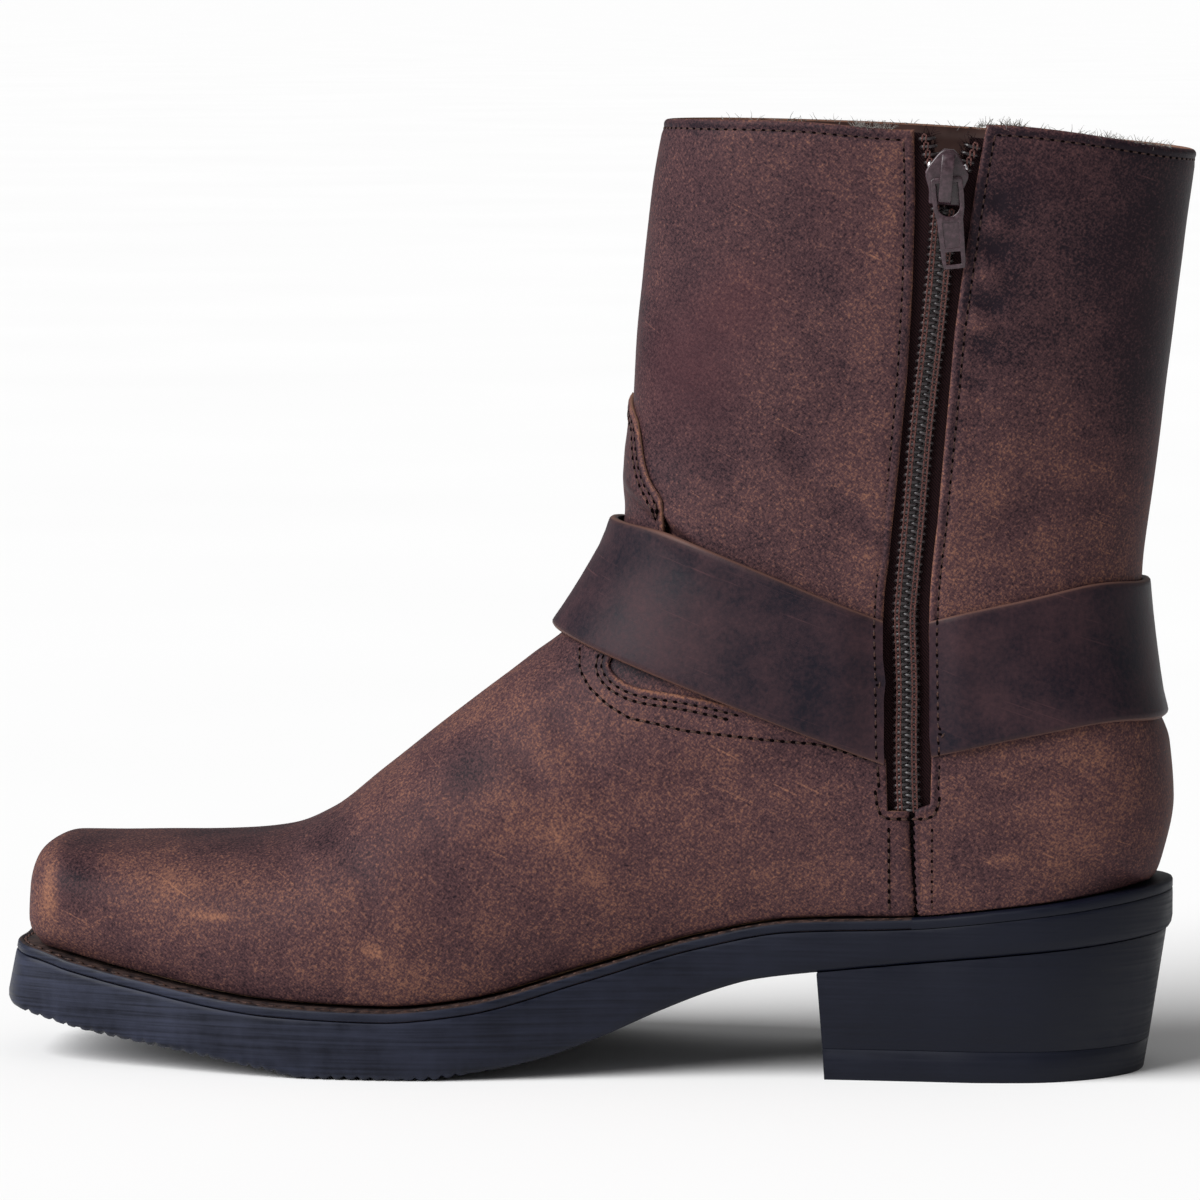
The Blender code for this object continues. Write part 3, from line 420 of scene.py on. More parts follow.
welt_width = curve(WELT_WIDTH)


def cap_ends(bm, verts, row):
    """Close the first and the last row of a tube that was laid from a grid."""
    for end in (0, row.max()):
        bmesh.ops.contextual_create(bm, geom=[v for v, at in zip(verts, row) if at == end])


def edge_strip(path, section):
    """A strip with a rounded outer edge along a path of the sole's outline and its inward side."""
    section = np.array(section)
    bm, verts, column, row = grid(len(section), len(path[0]) - 1)
    edge, inside = path
    depth, height = section[column % len(section)].T
    plan = edge[row] + unit(inside - edge)[row] * depth[:, None]
    z = seat(plan[:, 0]) - GAP - WELT_THICKNESS + height
    lay(verts, lean(np.column_stack((plan, z))))
    cap_ends(bm, verts, row)
    return bm


outer_line = np.vstack((SOLE_SIDES[1][::-1], SOLE_SIDES[0][1:]))
inner_sides = inset(SOLE_SIDES, lambda x: welt_width(x) + WELT_INSIDE)
inner_line = np.vstack((inner_sides[1][::-1], inner_sides[0][1:]))
welted = outer_line[:, 0] <= WELT_END_X
welt_path = outer_line[welted], inner_line[welted]
first = int(np.argmax(welted))
behind = np.r_[len(outer_line) - first - 1:len(outer_line), 1:first + 1]
rand_path = outer_line[behind], inner_line[behind]

# welt leather: oiled and edge-inked, near black with a brown cast and lighter where it is rubbed
welt_leather = grained("welt_leather", 0.0035, "#191518", "#4a3833", 5.0, 0.7, shade=(0.4, 0.72),
                       gloss=(0.3, 0.7, 0.5, 0.75), bump=(0.3, 0.0003), specular_ior_level=0.2)

bm = edge_strip(welt_path, WELT_SECTION)
bm.normal_update()
for face in bm.faces:
    face.material_index = int(abs(face.normal.z) < INKED_SLOPE)
add_piece("welt_strip", bm, [welt_leather, rubber], replaced=["welt"])
add_piece("heel_rand_strip", edge_strip(rand_path, RAND_SECTION), [rubber], replaced=["heel_rand"])


def along_line(points, outward, pitch, length, radius, tilt=0.0, sunk=0.0, first=0.5):
    """Places of stitches along a line: X along the stitch, Z out of the leather."""
    run = run_length(points)
    places = []
    for at in np.arange(pitch * first, run[-1], pitch):
        here, out = ([np.interp(at, run, line[:, k]) for k in range(3)] for line in (points, outward))
        ahead = [np.interp(min(at + 0.5, run[-1]), run, points[:, k]) for k in range(3)]
        back = [np.interp(max(at - 0.5, 0.0), run, points[:, k]) for k in range(3)]
        out = Vector(out).normalized()
        x = Vector(ahead) - Vector(back)
        x = (x - out * x.dot(out)).normalized()
        turn = Matrix((x, out.cross(x), out)).transposed() @ Matrix.Rotation(tilt, 3, "Z")
        place = (turn @ Matrix.Diagonal((length / 2, radius, radius))).to_4x4()
        place.translation = Vector(here) - out * sunk
        places.append(place)
    return places


def repeated(mold, places):
    """Copies of one small shape at many places, as one bmesh."""
    bm = bmesh.new()
    mesh = bpy.data.meshes.new("mold")
    mold.to_mesh(mesh)
    for place in places:
        copy = mesh.copy()
        copy.transform(place)
        bm.from_mesh(copy)
        bpy.data.meshes.remove(copy)
    bpy.data.meshes.remove(mesh)
    mold.free()
    return bm


def bead(around, rings):
    """A low ball of radius 1 with few faces, its poles along X."""
    bm = bmesh.new()
    bmesh.ops.create_uvsphere(bm, u_segments=around, v_segments=rings, radius=1.0,
                              matrix=Matrix.Rotation(math.pi / 2, 4, "Y"))
    return bm


def sewing_thread(name, dark, light):
    """Waxed thread: twisted plies that catch light along the top, with dirt between them."""
    # plies every 0.35 mm
    return grained(name, 0.00035, dark, light, 2.0, shade=(0.35, 0.7), bump=(0.4, 0.0002),
                   specular_ior_level=0.3, roughness=0.62)


welt_thread = sewing_thread("welt_thread", "#1d1514", "#5a3c31")
plan = welt_path[0] + unit(welt_path[1] - welt_path[0]) * WELT_ROW[0]
line = lean(np.column_stack((plan, seat(plan[:, 0]) - GAP - WELT_ROW[1])))
upward = np.tile((0.0, 0.0, 1.0), (len(line), 1))
add_piece("welt_stitches", repeated(bead(6, 5), along_line(line, upward, *WELT_STITCH)),
          [welt_thread], slot="welt")

# Insole: the leather board that the foot stands on, lasted into the upper. The solid has its
# shape, so it keeps it and gets the material.
# leather board: ground leather pressed with glue, matt tan with specks of darker fibre
board = grained("leather_board", 0.0015, "#5a4434", "#9a7a5c", 4.0, 0.7, bump=(0.3, 0.0003), roughness=0.85)
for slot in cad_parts["insole"].material_slots:
    slot.material = board

# Upper: oiled cowhide of about 2 mm, rubbed brown and creased, cut in three panels. The vamp
# covers the foot up to the instep, the shaft's front goes from zip to outer side seam, and the
# back panel goes round the heel. Edges at the zip, seams and collar are turned in.
FOOT_COLUMNS = ("front_x", "front_z", "back_x", "inner", "outer", "level", "top_power", "base_power")
FOOT = (
    (-146.6, 31.0, -146.6, 10.0, 12.0, 0.50, 2.0, 2.0),
    (-148.7, 37.7, -142.0, 20.5, 22.5, 0.45, 3.0, 2.0),
    (-148.4, 46.2, -136.0, 25.0, 27.0, 0.42, 3.0, 2.0),
    (-146.2, 53.8, -130.0, 28.0, 30.0, 0.40, 2.9, 2.0),
    (-139.5, 57.4, -123.0, 30.8, 33.0, 0.38, 2.7, 2.0),
    (-125.0, 57.6, -114.0, 34.0, 36.5, 0.36, 2.5, 2.0),
    (-110.0, 57.8, -104.0, 37.0, 40.0, 0.36, 2.4, 2.0),
    (-95.0, 58.2, -92.0, 40.0, 43.8, 0.35, 2.3, 2.0),
    (-82.0, 59.8, -80.0, 42.2, 46.8, 0.34, 2.2, 2.0),
    (-70.0, 65.2, -66.0, 43.6, 49.2, 0.32, 2.1, 2.0),
    (-57.0, 75.2, -50.0, 43.8, 50.6, 0.30, 2.0, 2.0),
    (-42.3, 86.7, -31.0, 42.2, 50.0, 0.29, 2.0, 2.0),
    (-29.5, 96.4, -13.0, 40.0, 47.5, 0.30, 2.0, 2.0),
    (-17.7, 105.6, 8.0, 37.8, 44.0, 0.32, 2.0, 2.0),
    (-7.6, 113.4, 30.0, 36.2, 41.0, 0.36, 2.0, 2.0),
    (0.8, 124.2, 58.0, 35.8, 38.8, 0.40, 2.1, 2.0),
    (6.3, 135.4, 90.0, 36.0, 37.5, 0.45, 2.1, 2.2),
    (7.4, 145.3, 122.0, 36.4, 37.0, 0.48, 2.2, 2.5),
    (7.2, 150.0, 137.0, 36.5, 36.8, 0.50, 2.2, 2.8),
)
SHAFT_COLUMNS = ("front_x", "front_z", "back_x", "back_z", "inner", "outer", "power")
SHAFT = (
    (7.6, 154.0, 143.6, 50.0, 36.5, 36.6, 3.0),
    (8.0, 159.5, 146.7, 57.8, 36.5, 36.5, 3.0),
    (8.9, 166.5, 148.8, 70.0, 36.5, 36.5, 2.9),
    (9.3, 174.5, 148.0, 84.0, 36.5, 36.5, 2.8),
    (9.7, 183.5, 142.6, 99.0, 36.5, 36.5, 2.6),
    (10.3, 194.0, 140.2, 124.0, 36.8, 36.8, 2.4),
    (11.3, 205.0, 142.8, 148.0, 37.2, 37.2, 2.3),
    (12.7, 218.0, 146.1, 176.0, 38.0, 38.0, 2.3),
    (14.6, 232.0, 149.6, 206.0, 39.0, 39.0, 2.3),
    (17.0, 245.0, 153.6, 237.0, 40.0, 40.0, 2.3),
)
SHAFT_LEVEL = 0.5
STRAIGHT_SIDE = 0.03
SEAT_LIFT = 0.25
COLLAR_RISE = (
    # share of the way round, how far the collar rises there
    (-1.0, 0.0), (-0.9, 0.6), (-0.62, 4.2), (-0.46, 1.5), (-0.33, 2.0), (-0.15, 0.8), (0.0, 0.0),
    (0.5, 1.4), (1.0, 0.0),
)
COLLAR_DEPTH = 4.0
TOE_TURN = 0.75
STEEPEST_UNDERCUT = -0.3
SECTIONS = len(FOOT) + len(SHAFT) - 1
FEATHER = inset(SOLE_SIDES, welt_width)
S_STEPS = np.linspace(0.0, SECTIONS, SECTIONS * 16 + 1)
T_STEPS = np.linspace(-1.0, 1.0, 321)


def table_tracks():
    """A smooth track along the upper for each column of its tables."""
    rows = [dict(zip(FOOT_COLUMNS, row), back_z=seat(row[2]) + SEAT_LIFT) for row in FOOT]
    for row in SHAFT:
        values = dict(zip(SHAFT_COLUMNS, row), level=SHAFT_LEVEL)
        values["top_power"] = values["base_power"] = values.pop("power")
        rows.append(values)
    return {name: curve([(i, row[name]) for i, row in enumerate(rows)]) for name in rows[0]}


def half_section(value, side, base, shares):
    """One side of a section, at shares of its length from the front (0) to its end (1)."""
    width = value[side]
    ratio = min(base / width, 1.0)
    level = value["level"] * min(1.0, (1.0 - ratio) / STRAIGHT_SIDE)
    powers = 2.0 / value["top_power"], 2.0 / value["base_power"]
    lowest = math.acos(ratio ** (1.0 / powers[1]))
    turn = np.linspace(0.0, 1.0, 90)
    above, below = math.pi / 2 * (1 - turn), lowest * turn[1:]
    y = width * np.concatenate((np.cos(above) ** powers[0], np.cos(below) ** powers[1]))
    rise = level + (1 - level) * np.sin(above) ** powers[0]
    fall = level * (1 - (np.sin(below) / max(math.sin(lowest), 1e-9)) ** powers[1])
    u = np.concatenate((rise, fall))
    front = np.array((value["front_x"], 0.0, value["front_z"]))
    back = np.array((value["back_x"], 0.0, value["back_z"]))
    points = back + u[:, None] * (front - back)
    points[:, 1] = -y if side == "inner" else y
    points[0, 1] = 0.0
    if base == 0.0:
        points[-1] = back
    return at_shares(points, shares)


def surface_grid():
    """The outside of the upper and its outward normals on a fine grid of section and share."""
    tracks = table_tracks()
    surface = np.zeros((len(S_STEPS), len(T_STEPS), 3))
    for i, s in enumerate(S_STEPS):
        value = {name: track(s) for name, track in tracks.items()}
        base = (0.0, 0.0)
        if s < len(FOOT):
            value["back_z"] = seat(value["back_x"]) + SEAT_LIFT
            base = half_widths(FEATHER, value["back_x"])
        if s == 0:
            base = value["inner"], value["outer"]
            value["front_z"] = value["back_z"]
        surface[i] = np.vstack((half_section(value, "inner", base[0], -T_STEPS[T_STEPS <= 0]),
                                half_section(value, "outer", base[1], T_STEPS[T_STEPS > 0])))
    collar = fade(S_STEPS, SECTIONS - COLLAR_DEPTH, SECTIONS)
    surface[:, :, 2] += collar[:, None] * curve(COLLAR_RISE)(T_STEPS)
    normal = np.cross(np.gradient(surface, axis=1), np.gradient(surface, axis=0))
    closed = S_STEPS >= len(FOOT)
    normal[closed, 0] = normal[closed, -1] = normal[closed, 0] + normal[closed, -1]
    normal /= np.maximum(np.linalg.norm(normal, axis=2), 1e-12)[:, :, None]
    if normal[len(S_STEPS) // 4, len(T_STEPS) // 2, 2] < 0:
        normal = -normal
    normal[S_STEPS < TOE_TURN] = normal[np.searchsorted(S_STEPS, TOE_TURN)]
    normal[:, :, 2] = np.maximum(normal[:, :, 2], STEEPEST_UNDERCUT)
    return surface, unit(normal)


SURFACE, NORMAL = surface_grid()
# millimetres along each section's inner and outer half, and up the surface for each section
GIRTH = np.stack([np.linalg.norm(np.diff(half, axis=1), axis=2).sum(axis=1)
                  for half in (SURFACE[:, T_STEPS <= 0], SURFACE[:, T_STEPS >= 0])], axis=1)
CLIMB = np.linalg.norm(np.gradient(SURFACE, S_STEPS, axis=0), axis=2)[:, :, None]


def sample(values, s, t):
    """Read a grid of the surface at any section s and share t, which may be arrays of one shape."""
    i, j = np.asarray(s) / S_STEPS[1], (np.asarray(t) + 1.0) / (T_STEPS[1] - T_STEPS[0])
    i0 = np.clip(np.floor(i).astype(int), 0, len(S_STEPS) - 2)
    j0 = np.clip(np.floor(j).astype(int), 0, len(T_STEPS) - 2)
    u, v = (i - i0)[..., None], (j - j0)[..., None]
    low = values[i0, j0] * (1 - v) + values[i0, j0 + 1] * v
    high = values[i0 + 1, j0] * (1 - v) + values[i0 + 1, j0 + 1] * v
    return low * (1 - u) + high * u


def skin(s, t, out=0.0):
    """Points of the upper's surface, moved outwards along its normal."""
    return sample(SURFACE, s, t) + sample(NORMAL, s, t) * np.asarray(out)[..., None]


def locate(x, z, side, out=0.0):
    """Section and share of the point, a distance out, that shows at x, z from a side (-1 inner, 1 outer)."""
    half = T_STEPS * side > 0
    miss = (SURFACE[:, half, 0] - x) ** 2 + (SURFACE[:, half, 2] - z) ** 2
    i, j = np.unravel_index(np.argmin(miss), miss.shape)
    st = np.array((S_STEPS[i], T_STEPS[half][j]))
    step = np.array((0.05, 0.005))
    for _ in range(9):
        here = skin(*st, out)[[0, 2]]
        change = [(skin(*(st + shift), out)[[0, 2]] - here) / size
                  for shift, size in zip(np.diag(step), step)]
        move = np.linalg.solve(np.column_stack(change), (x, z) - here) * 0.8
        st = np.clip(st + np.clip(move, -8 * step, 8 * step), (0.0, -0.999), (SECTIONS, 0.999))
    return st


def through(points, side, count):
    """Sections and shares at even lengths along a line of x, z points on one side of the boot."""
    return np.array([locate(x, z, side) for x, z in evenly(np.array(points, float), count)]).T


def collar_climb(t):
    """Millimetres up the surface for each section, at shares just below the collar."""
    return sample(CLIMB, np.full(t.shape, SECTIONS - 0.5), t)[:, 0]


VAMP_EDGE = (
    # share of the way round from the front, height
    (0.0, 174.0), (0.04, 172.4), (0.085, 168.0), (0.104, 160.5), (0.13, 153.0), (0.15, 149.2),
    (0.16, 146.2), (0.165, 142.5), (0.172, 137.0), (0.20, 128.0), (0.24, 116.0), (0.278, 106.2),
    (0.31, 103.4), (0.34, 101.6), (0.375, 100.0), (0.427, 98.6), (0.50, 95.2), (0.56, 91.6),
    (0.59, 89.2), (0.61, 87.4), (0.64, 84.6), (0.68, 82.0), (0.75, 79.0),
)
# how far the vamp stands on the shaft, the shares of its height over which it rises to that, the
# shares round over which it runs out, and the sections between which its edge lies
VAMP_STEP = 1.4
VAMP_RISE = (0.5, 0.95)
VAMP_FADE_SHARES = (0.52, 0.64)
VAMP_REACH = (8.0, 24.0)
# how far the shaft's front goes on under it, down and sideways
VAMP_LAP = 9.0
VAMP_LAP_SIDEWAYS = 0.12
# how far the vamp's side is pulled over the back panel's rolled edge
SEAM_LAP = 1.35
# sections over which the vamp's rows are even, how late they bend up to its edge at the instep,
# how far in from its sides they follow the sides, and how late they bend up there
VAMP_EVEN = 13.0
VAMP_CLIMB = 3.0
VAMP_SIDE = 45.0
VAMP_SIDE_CLIMB = 8
# reach of the cut at the lower front corner of the zip's opening
CORNER_REACH = 40.0
# lines of the zip's opening and of the seams, x and z from the welt up
SEAM = ((84.4, 43.0), (83.9, 56.0), (83.6, 70.2))
SEAM_ABOVE = ((83.6, 70.3), (83.4, 92.0))
ZIP_FOOT_REAR = ((83.8, 70.4), (87.9, 71.6))
ZIP_FRONT = (
    (77.1, 69.9), (76.2, 85.0), (76.2, 100.0), (75.8, 115.5), (76.2, 125.5), (78.0, 143.0), (80.1, 161.5),
    (81.9, 181.5), (83.1, 203.0), (83.7, 225.0), (83.3, 242.0),
)
ZIP_REAR = (
    (88.0, 71.8), (88.3, 83.0), (87.8, 103.0), (87.5, 115.5), (87.7, 125.5), (88.5, 134.5), (89.6, 144.0),
    (90.8, 158.0), (92.4, 176.0), (93.7, 191.5), (95.2, 203.0), (96.8, 214.0), (98.8, 228.0),
    (101.5, 243.5),
)
OUTER_SEAM = ((84.4, 43.0), (84.0, 70.0), (85.0, 103.0), (93.8, 242.0))
# distances of the first columns from a turned-in edge, and the radius of the turn
ROLL = np.array((0.0, 0.12, 0.38, 0.8, 1.4, 2.0, 2.6, 3.3, 4.4))
FOLD = 1.3
# distance of a row of stitches from a turned-in edge, and how deep and wide it pulls the leather in
EDGE_ROW = 2.6
SEWN_DEPTH = 0.28
SEWN_WIDTH = 0.75
# distances of the vamp's last rows from its cut edge, how far the edge is rounded down and over
# which width, and the place and width of its first row of stitches
CUT_ROWS = np.array((0.0, 0.45, 0.9, 1.5, 2.4))
CUT_DROP = 0.6
CUT_ROUND = 1.1
CUT_SEWN = (2.0, 0.6)
# tone along a turned-in edge, a cut edge and the seam under the zip, as lines of strength, distance
# and half-width: lighter where the edge is rubbed, darker up to its stitches, and painted shade in the
# seam's groove
TURNED_TONE = ((0.5, 0.0, 0.4), (-0.45, 1.7, 1.1))
CUT_TONE = ((0.75, 0.3, 0.5), (-0.5, 1.7, 0.5))
SEAM_PAINTED_SHADE = ((-0.6, 0.0, 1.2),)
# how far the vamp's seat stops below the seam's foot and the back panel starts above it, in sections
SEAM_FOOT_GAPS = (0.05, 0.02)
# heights between which the seam gives way to the zip's opening
SEAM_TOP = (70.0, 74.0)
TURNED = len(ROLL) - 1


def vamp_edge_rows():
    """The section number of the vamp's edge at every share."""
    height = curve(VAMP_EDGE)
    ankle = (S_STEPS >= VAMP_REACH[0]) & (S_STEPS <= VAMP_REACH[1])
    rows = []
    for j, t in enumerate(T_STEPS):
        heights = np.maximum.accumulate(SURFACE[ankle, j, 2])
        rows.append(np.interp(height(min(abs(t), VAMP_EDGE[-1][0])), heights, S_STEPS[ankle]))
    return np.array(rows)


VAMP_ROWS = vamp_edge_rows()


def vamp_top(t):
    """The section number of the vamp's edge at shares."""
    return np.interp(t, T_STEPS, VAMP_ROWS)


def boundary(parts, side):
    """The share of a seam or opening as a function of the section."""
    s, t = np.hstack([through(part, side, 24 if len(part) < 6 else 80) for part in parts])
    order = np.argsort(s)
    return lambda at: np.interp(at, s[order], np.abs(t)[order], left=1.0)


front_share = boundary((ZIP_FRONT,), -1)
rear_share = boundary((SEAM, ZIP_FOOT_REAR, ZIP_REAR), -1)
outer_share = boundary((OUTER_SEAM,), 1)


def girths(s):
    """Lengths of the inner and the outer half of sections."""
    return np.interp(s, S_STEPS, GIRTH[:, 0]), np.interp(s, S_STEPS, GIRTH[:, 1])


def along_edge(s, t, at):
    """Sections and shares at fractions of the length of a panel's edge."""
    run = run_length(skin(s, t))
    return np.interp(at * run[-1], run, s), np.interp(at * run[-1], run, t)


def meet_rows(part, side, rows):
    """The part of an edge line above a line round the boot, and the part below it."""
    s, t = through(part, side, 160)
    above = s > np.interp(t, T_STEPS, rows)
    return (s[above], t[above]), (s[~above], t[~above])


def lapped_under(rows):
    """A line round the boot that runs under the vamp's edge everywhere, without its steep turns."""
    reach = int(VAMP_LAP_SIDEWAYS / (T_STEPS[1] - T_STEPS[0]))
    wide = np.pad(rows - VAMP_LAP / sample(CLIMB, rows, T_STEPS)[:, 0], 2 * reach, mode="edge")
    lowest = np.min([wide[i:len(wide) - 2 * reach + i] for i in range(2 * reach + 1)], axis=0)
    return np.convolve(lowest, np.full(2 * reach + 1, 1 / (2 * reach + 1)), mode="valid")


def even_columns(index, count, width):
    """Fractions across a panel of a given width, with close columns at its two turned-in edges."""
    even = ROLL[-1] + (width - 2 * ROLL[-1]) * (index - TURNED) / (count - 2 * TURNED)
    at_start, at_end = ROLL[np.clip(index, 0, TURNED)], width - ROLL[np.clip(count - index, 0, TURNED)]
    place = np.where(index < TURNED, at_start, np.where(index > count - TURNED, at_end, even))
    return place / width, np.minimum(place, width - place)


def back_columns(index, count, s):
    """Shares of the columns of the back panel, which are doubled at the back of the heel."""
    inner, outer = girths(s)
    left, right = (1 - rear_share(s)) * inner, (1 - outer_share(s)) * outer
    middle = count // 2
    first = index <= middle
    ends = []
    for step, width, steps in ((index, left, middle), (count - index, right, count - middle - 1)):
        roll = ROLL[np.clip(step, 0, TURNED)] * np.minimum(1.0, width / (2 * ROLL[-1]))
        ends.append(roll + (width - roll) * np.maximum(step - TURNED, 0) / (steps - TURNED))
    near, far = ends
    shares = np.where(first, -1 + (left - near) / inner, 1 - (right - far) / outer)
    return shares, np.where(first, near, far)


def hill(x, middle, width):
    """A bell-shaped hill of height 1."""
    return np.exp(-((x - middle) / width) ** 2)


def vamp_lift(s, t):
    """How far the vamp's leather stands on the shaft at a section and share."""
    part = np.clip(s / vamp_top(t), 0.0, 1.0)
    return VAMP_STEP * fade(part, *VAMP_RISE) * (1.0 - fade(np.abs(t), *VAMP_FADE_SHARES))


def turned_in(distance):
    """How far the leather drops on its way round a turned-in edge."""
    short = FOLD - np.clip(distance, 0.0, FOLD)
    return FOLD - np.sqrt(FOLD ** 2 - short ** 2)


def sewn_in(distance):
    """How deep a row of stitches pulls the leather in beside a turned-in edge."""
    return SEWN_DEPTH * hill(distance, EDGE_ROW, SEWN_WIDTH)


def edge_tone(distance, lines):
    """How much lighter or darker the leather is at distances from an edge."""
    return sum(strength * hill(distance, middle, width) for strength, middle, width in lines)


# creases and folds: side, half-width, height (a trough is negative), x and z points
CREASES = (
    (-1, 2.2, -1.0, ((100.0, 227.0), (104.0, 224.5), (109.0, 224.0))),
    (-1, 2.4, 0.9, ((99.0, 221.5), (104.0, 219.0), (110.0, 219.5))),
    (-1, 2.0, -1.1, ((98.0, 216.0), (104.5, 212.5), (110.0, 213.0))),
    (-1, 2.4, 1.0, ((97.0, 209.0), (104.0, 206.0), (108.0, 206.0))),
    (-1, 2.0, -1.2, ((96.0, 202.0), (103.0, 198.5), (108.0, 199.0))),
    (-1, 2.0, 0.8, ((95.5, 196.5), (102.0, 193.0), (106.0, 193.0))),
    (-1, 1.8, -1.0, ((95.0, 191.5), (101.5, 188.0), (105.5, 188.5))),
    (-1, 1.8, -0.9, ((94.0, 181.5), (100.5, 178.0), (104.0, 178.0))),
    (-1, 1.8, -0.8, ((93.0, 171.0), (99.0, 168.5), (102.5, 168.0))),
    (-1, 3.5, -0.6, ((88.0, 132.0), (74.0, 140.0), (60.0, 152.0), (48.0, 168.0))),
    (-1, 4.0, -0.5, ((99.0, 140.0), (112.0, 146.0), (124.0, 149.0), (136.0, 146.0))),
    (-1, 3.0, -0.45, ((-12.0, 96.0), (-4.0, 86.0), (2.0, 78.0), (6.0, 70.0))),
    (-1, 3.0, -0.4, ((-24.0, 88.0), (-14.0, 78.0), (-8.0, 70.0))),
    (-1, 2.5, -0.35, ((-66.0, 62.0), (-58.0, 54.0), (-54.0, 45.0), (-53.0, 36.0))),
    (-1, 2.5, -0.3, ((-80.0, 57.0), (-73.0, 49.0), (-69.0, 40.0))),
    (-1, 3.0, -0.4, ((96.0, 76.0), (108.0, 74.0), (120.0, 78.0), (132.0, 80.0))),
    (1, 3.5, -0.6, ((88.0, 130.0), (72.0, 141.0), (58.0, 150.0), (44.0, 170.0))),
    (1, 4.0, -0.6, ((96.0, 138.0), (110.0, 146.0), (124.0, 148.0), (137.0, 144.0))),
    (1, 3.0, -0.45, ((-14.0, 95.0), (-5.0, 84.0), (1.0, 76.0), (4.0, 66.0))),
    (1, 3.0, -0.4, ((-27.0, 88.0), (-18.0, 77.0), (-11.0, 66.0))),
    (1, 2.5, -0.4, ((-68.0, 62.0), (-60.0, 54.0), (-57.0, 44.0), (-55.0, 34.0))),
    (1, 2.5, -0.3, ((-83.0, 57.0), (-75.0, 48.0), (-71.0, 38.0))),
    (1, 3.0, -0.4, ((95.0, 74.0), (108.0, 72.0), (120.0, 76.0), (131.0, 80.0))),
)
# soft patches of colour, among them a painted shadow under the front strap, painted shade at the
# shaft's back and a painted highlight on the toe's corner: side (0 both, at half their strength), x, z,
# half-widths in x and z, lighter or darker, redder
PATCHES = (
    (0, -10.0, 72.0, 62.0, 34.0, 0.30, 0.25),
    (0, -128.0, 46.0, 36.0, 16.0, 0.62, 0.1),
    (0, -40.0, 40.0, 60.0, 14.0, -0.12, 0.0),
    (-1, 24.0, 205.0, 26.0, 60.0, -0.42, 0.0),
    # darker at the shaft's back: partly the leather's own colour, partly painted shade where the shaft turns
    # away from the light
    (-1, 144.0, 205.0, 24.0, 42.0, -1.1, -0.1),
    # painted shadow of the front strap on the leather below it
    (-1, 17.0, 105.2, 16.0, 4.2, -1.2, -0.3),
    # lighter strip on the toe's front corner: rubbed leather, and partly a painted highlight on the corner's
    # edge
    (-1, -140.8, 46.0, 2.2, 8.0, 0.9, 0.0),
    (-1, -60.0, 55.0, 80.0, 40.0, 0.08, 0.0),
    (-1, -133.0, 48.0, 6.0, 9.0, -0.75, 0.0),
    (0, -95.0, 58.0, 17.0, 4.0, -0.60, -0.3),
    (0, -68.0, 61.0, 10.0, 5.0, -0.50, -0.2),
    (-1, -28.0, 79.0, 11.0, 7.0, -0.65, -0.2),
    (1, -34.0, 74.0, 10.0, 8.0, -0.55, -0.2),
    (-1, 26.0, 182.0, 14.0, 18.0, -0.40, 0.9),
    (-1, 40.0, 200.0, 12.0, 12.0, 0.25, 0.5),
    (-1, 54.0, 168.0, 16.0, 26.0, -0.05, 0.0),
    (-1, 30.0, 226.0, 14.0, 14.0, 0.10, 0.2),
    (-1, 64.0, 222.0, 14.0, 20.0, -0.25, 0.1),
    (-1, 106.0, 204.0, 13.0, 34.0, -0.65, -0.1),
    (-1, 118.0, 232.0, 18.0, 10.0, -0.20, 0.2),
    (-1, 126.0, 154.0, 20.0, 20.0, 0.32, 0.1),
    (-1, 137.0, 198.0, 12.0, 30.0, 0.10, 0.2),
    (-1, 128.0, 72.0, 22.0, 18.0, 0.10, 0.15),
    (-1, 104.0, 58.0, 10.0, 10.0, -0.30, 0.0),
    (-1, -53.6, 33.4, 3.0, 1.4, 0.8, 0.0),
    (-1, -96.0, 41.0, 6.0, 1.0, 0.8, 0.0),
    (-1, 105.7, 57.6, 4.0, 1.6, 0.7, 0.0),
    (1, 30.0, 190.0, 18.0, 22.0, 0.10, 0.6),
    (1, 70.0, 180.0, 20.0, 30.0, -0.35, 0.0),
    (1, 124.0, 190.0, 18.0, 34.0, -0.30, 0.1),
    (1, 130.0, 150.0, 16.0, 14.0, 0.30, 0.1),
    (1, 126.0, 72.0, 22.0, 18.0, 0.10, 0.15),
)
NOISE_FORM = ((38.0, 0.5), (15.0, 0.22))
LEATHER_LAYERS = ("tone", "red")
# how much lighter each millimetre of relief is painted: a painted highlight on ridges and painted shade in
# troughs
RELIEF_HIGHLIGHT_AND_SHADE = 0.5
# length, in half-widths, over which a crease runs out at its ends
CREASE_ENDS = 2.5
# half the width over which the marks of one side run out on the other
SIDES_BLEND = 7.0


def creased(points):
    """How far the creases and the leather's slackness lift points of the upper."""
    lift = np.zeros(len(points))
    seen = points[:, [0, 2]]
    for side, width, height, path in CREASES:
        path = np.array(path)
        nearest = np.full(len(points), 1e9)
        for a, b in zip(path, path[1:]):
            along = np.clip(((seen - a) @ (b - a)) / ((b - a) @ (b - a)), 0.0, 1.0)
            nearest = np.minimum(nearest, np.linalg.norm(seen - a - along[:, None] * (b - a), axis=1))
        ends = np.minimum(np.linalg.norm(seen - path[0], axis=1), np.linalg.norm(seen - path[-1], axis=1))
        shape = hill(nearest, 0.0, width) * fade(ends, 0.0, CREASE_ENDS * width)
        lift += height * shape * fade(points[:, 1] * side, -SIDES_BLEND, SIDES_BLEND)
    for size, height in NOISE_FORM:
        lift += [noise.noise(Vector(point) / size) * height for point in points.tolist()]
    return lift


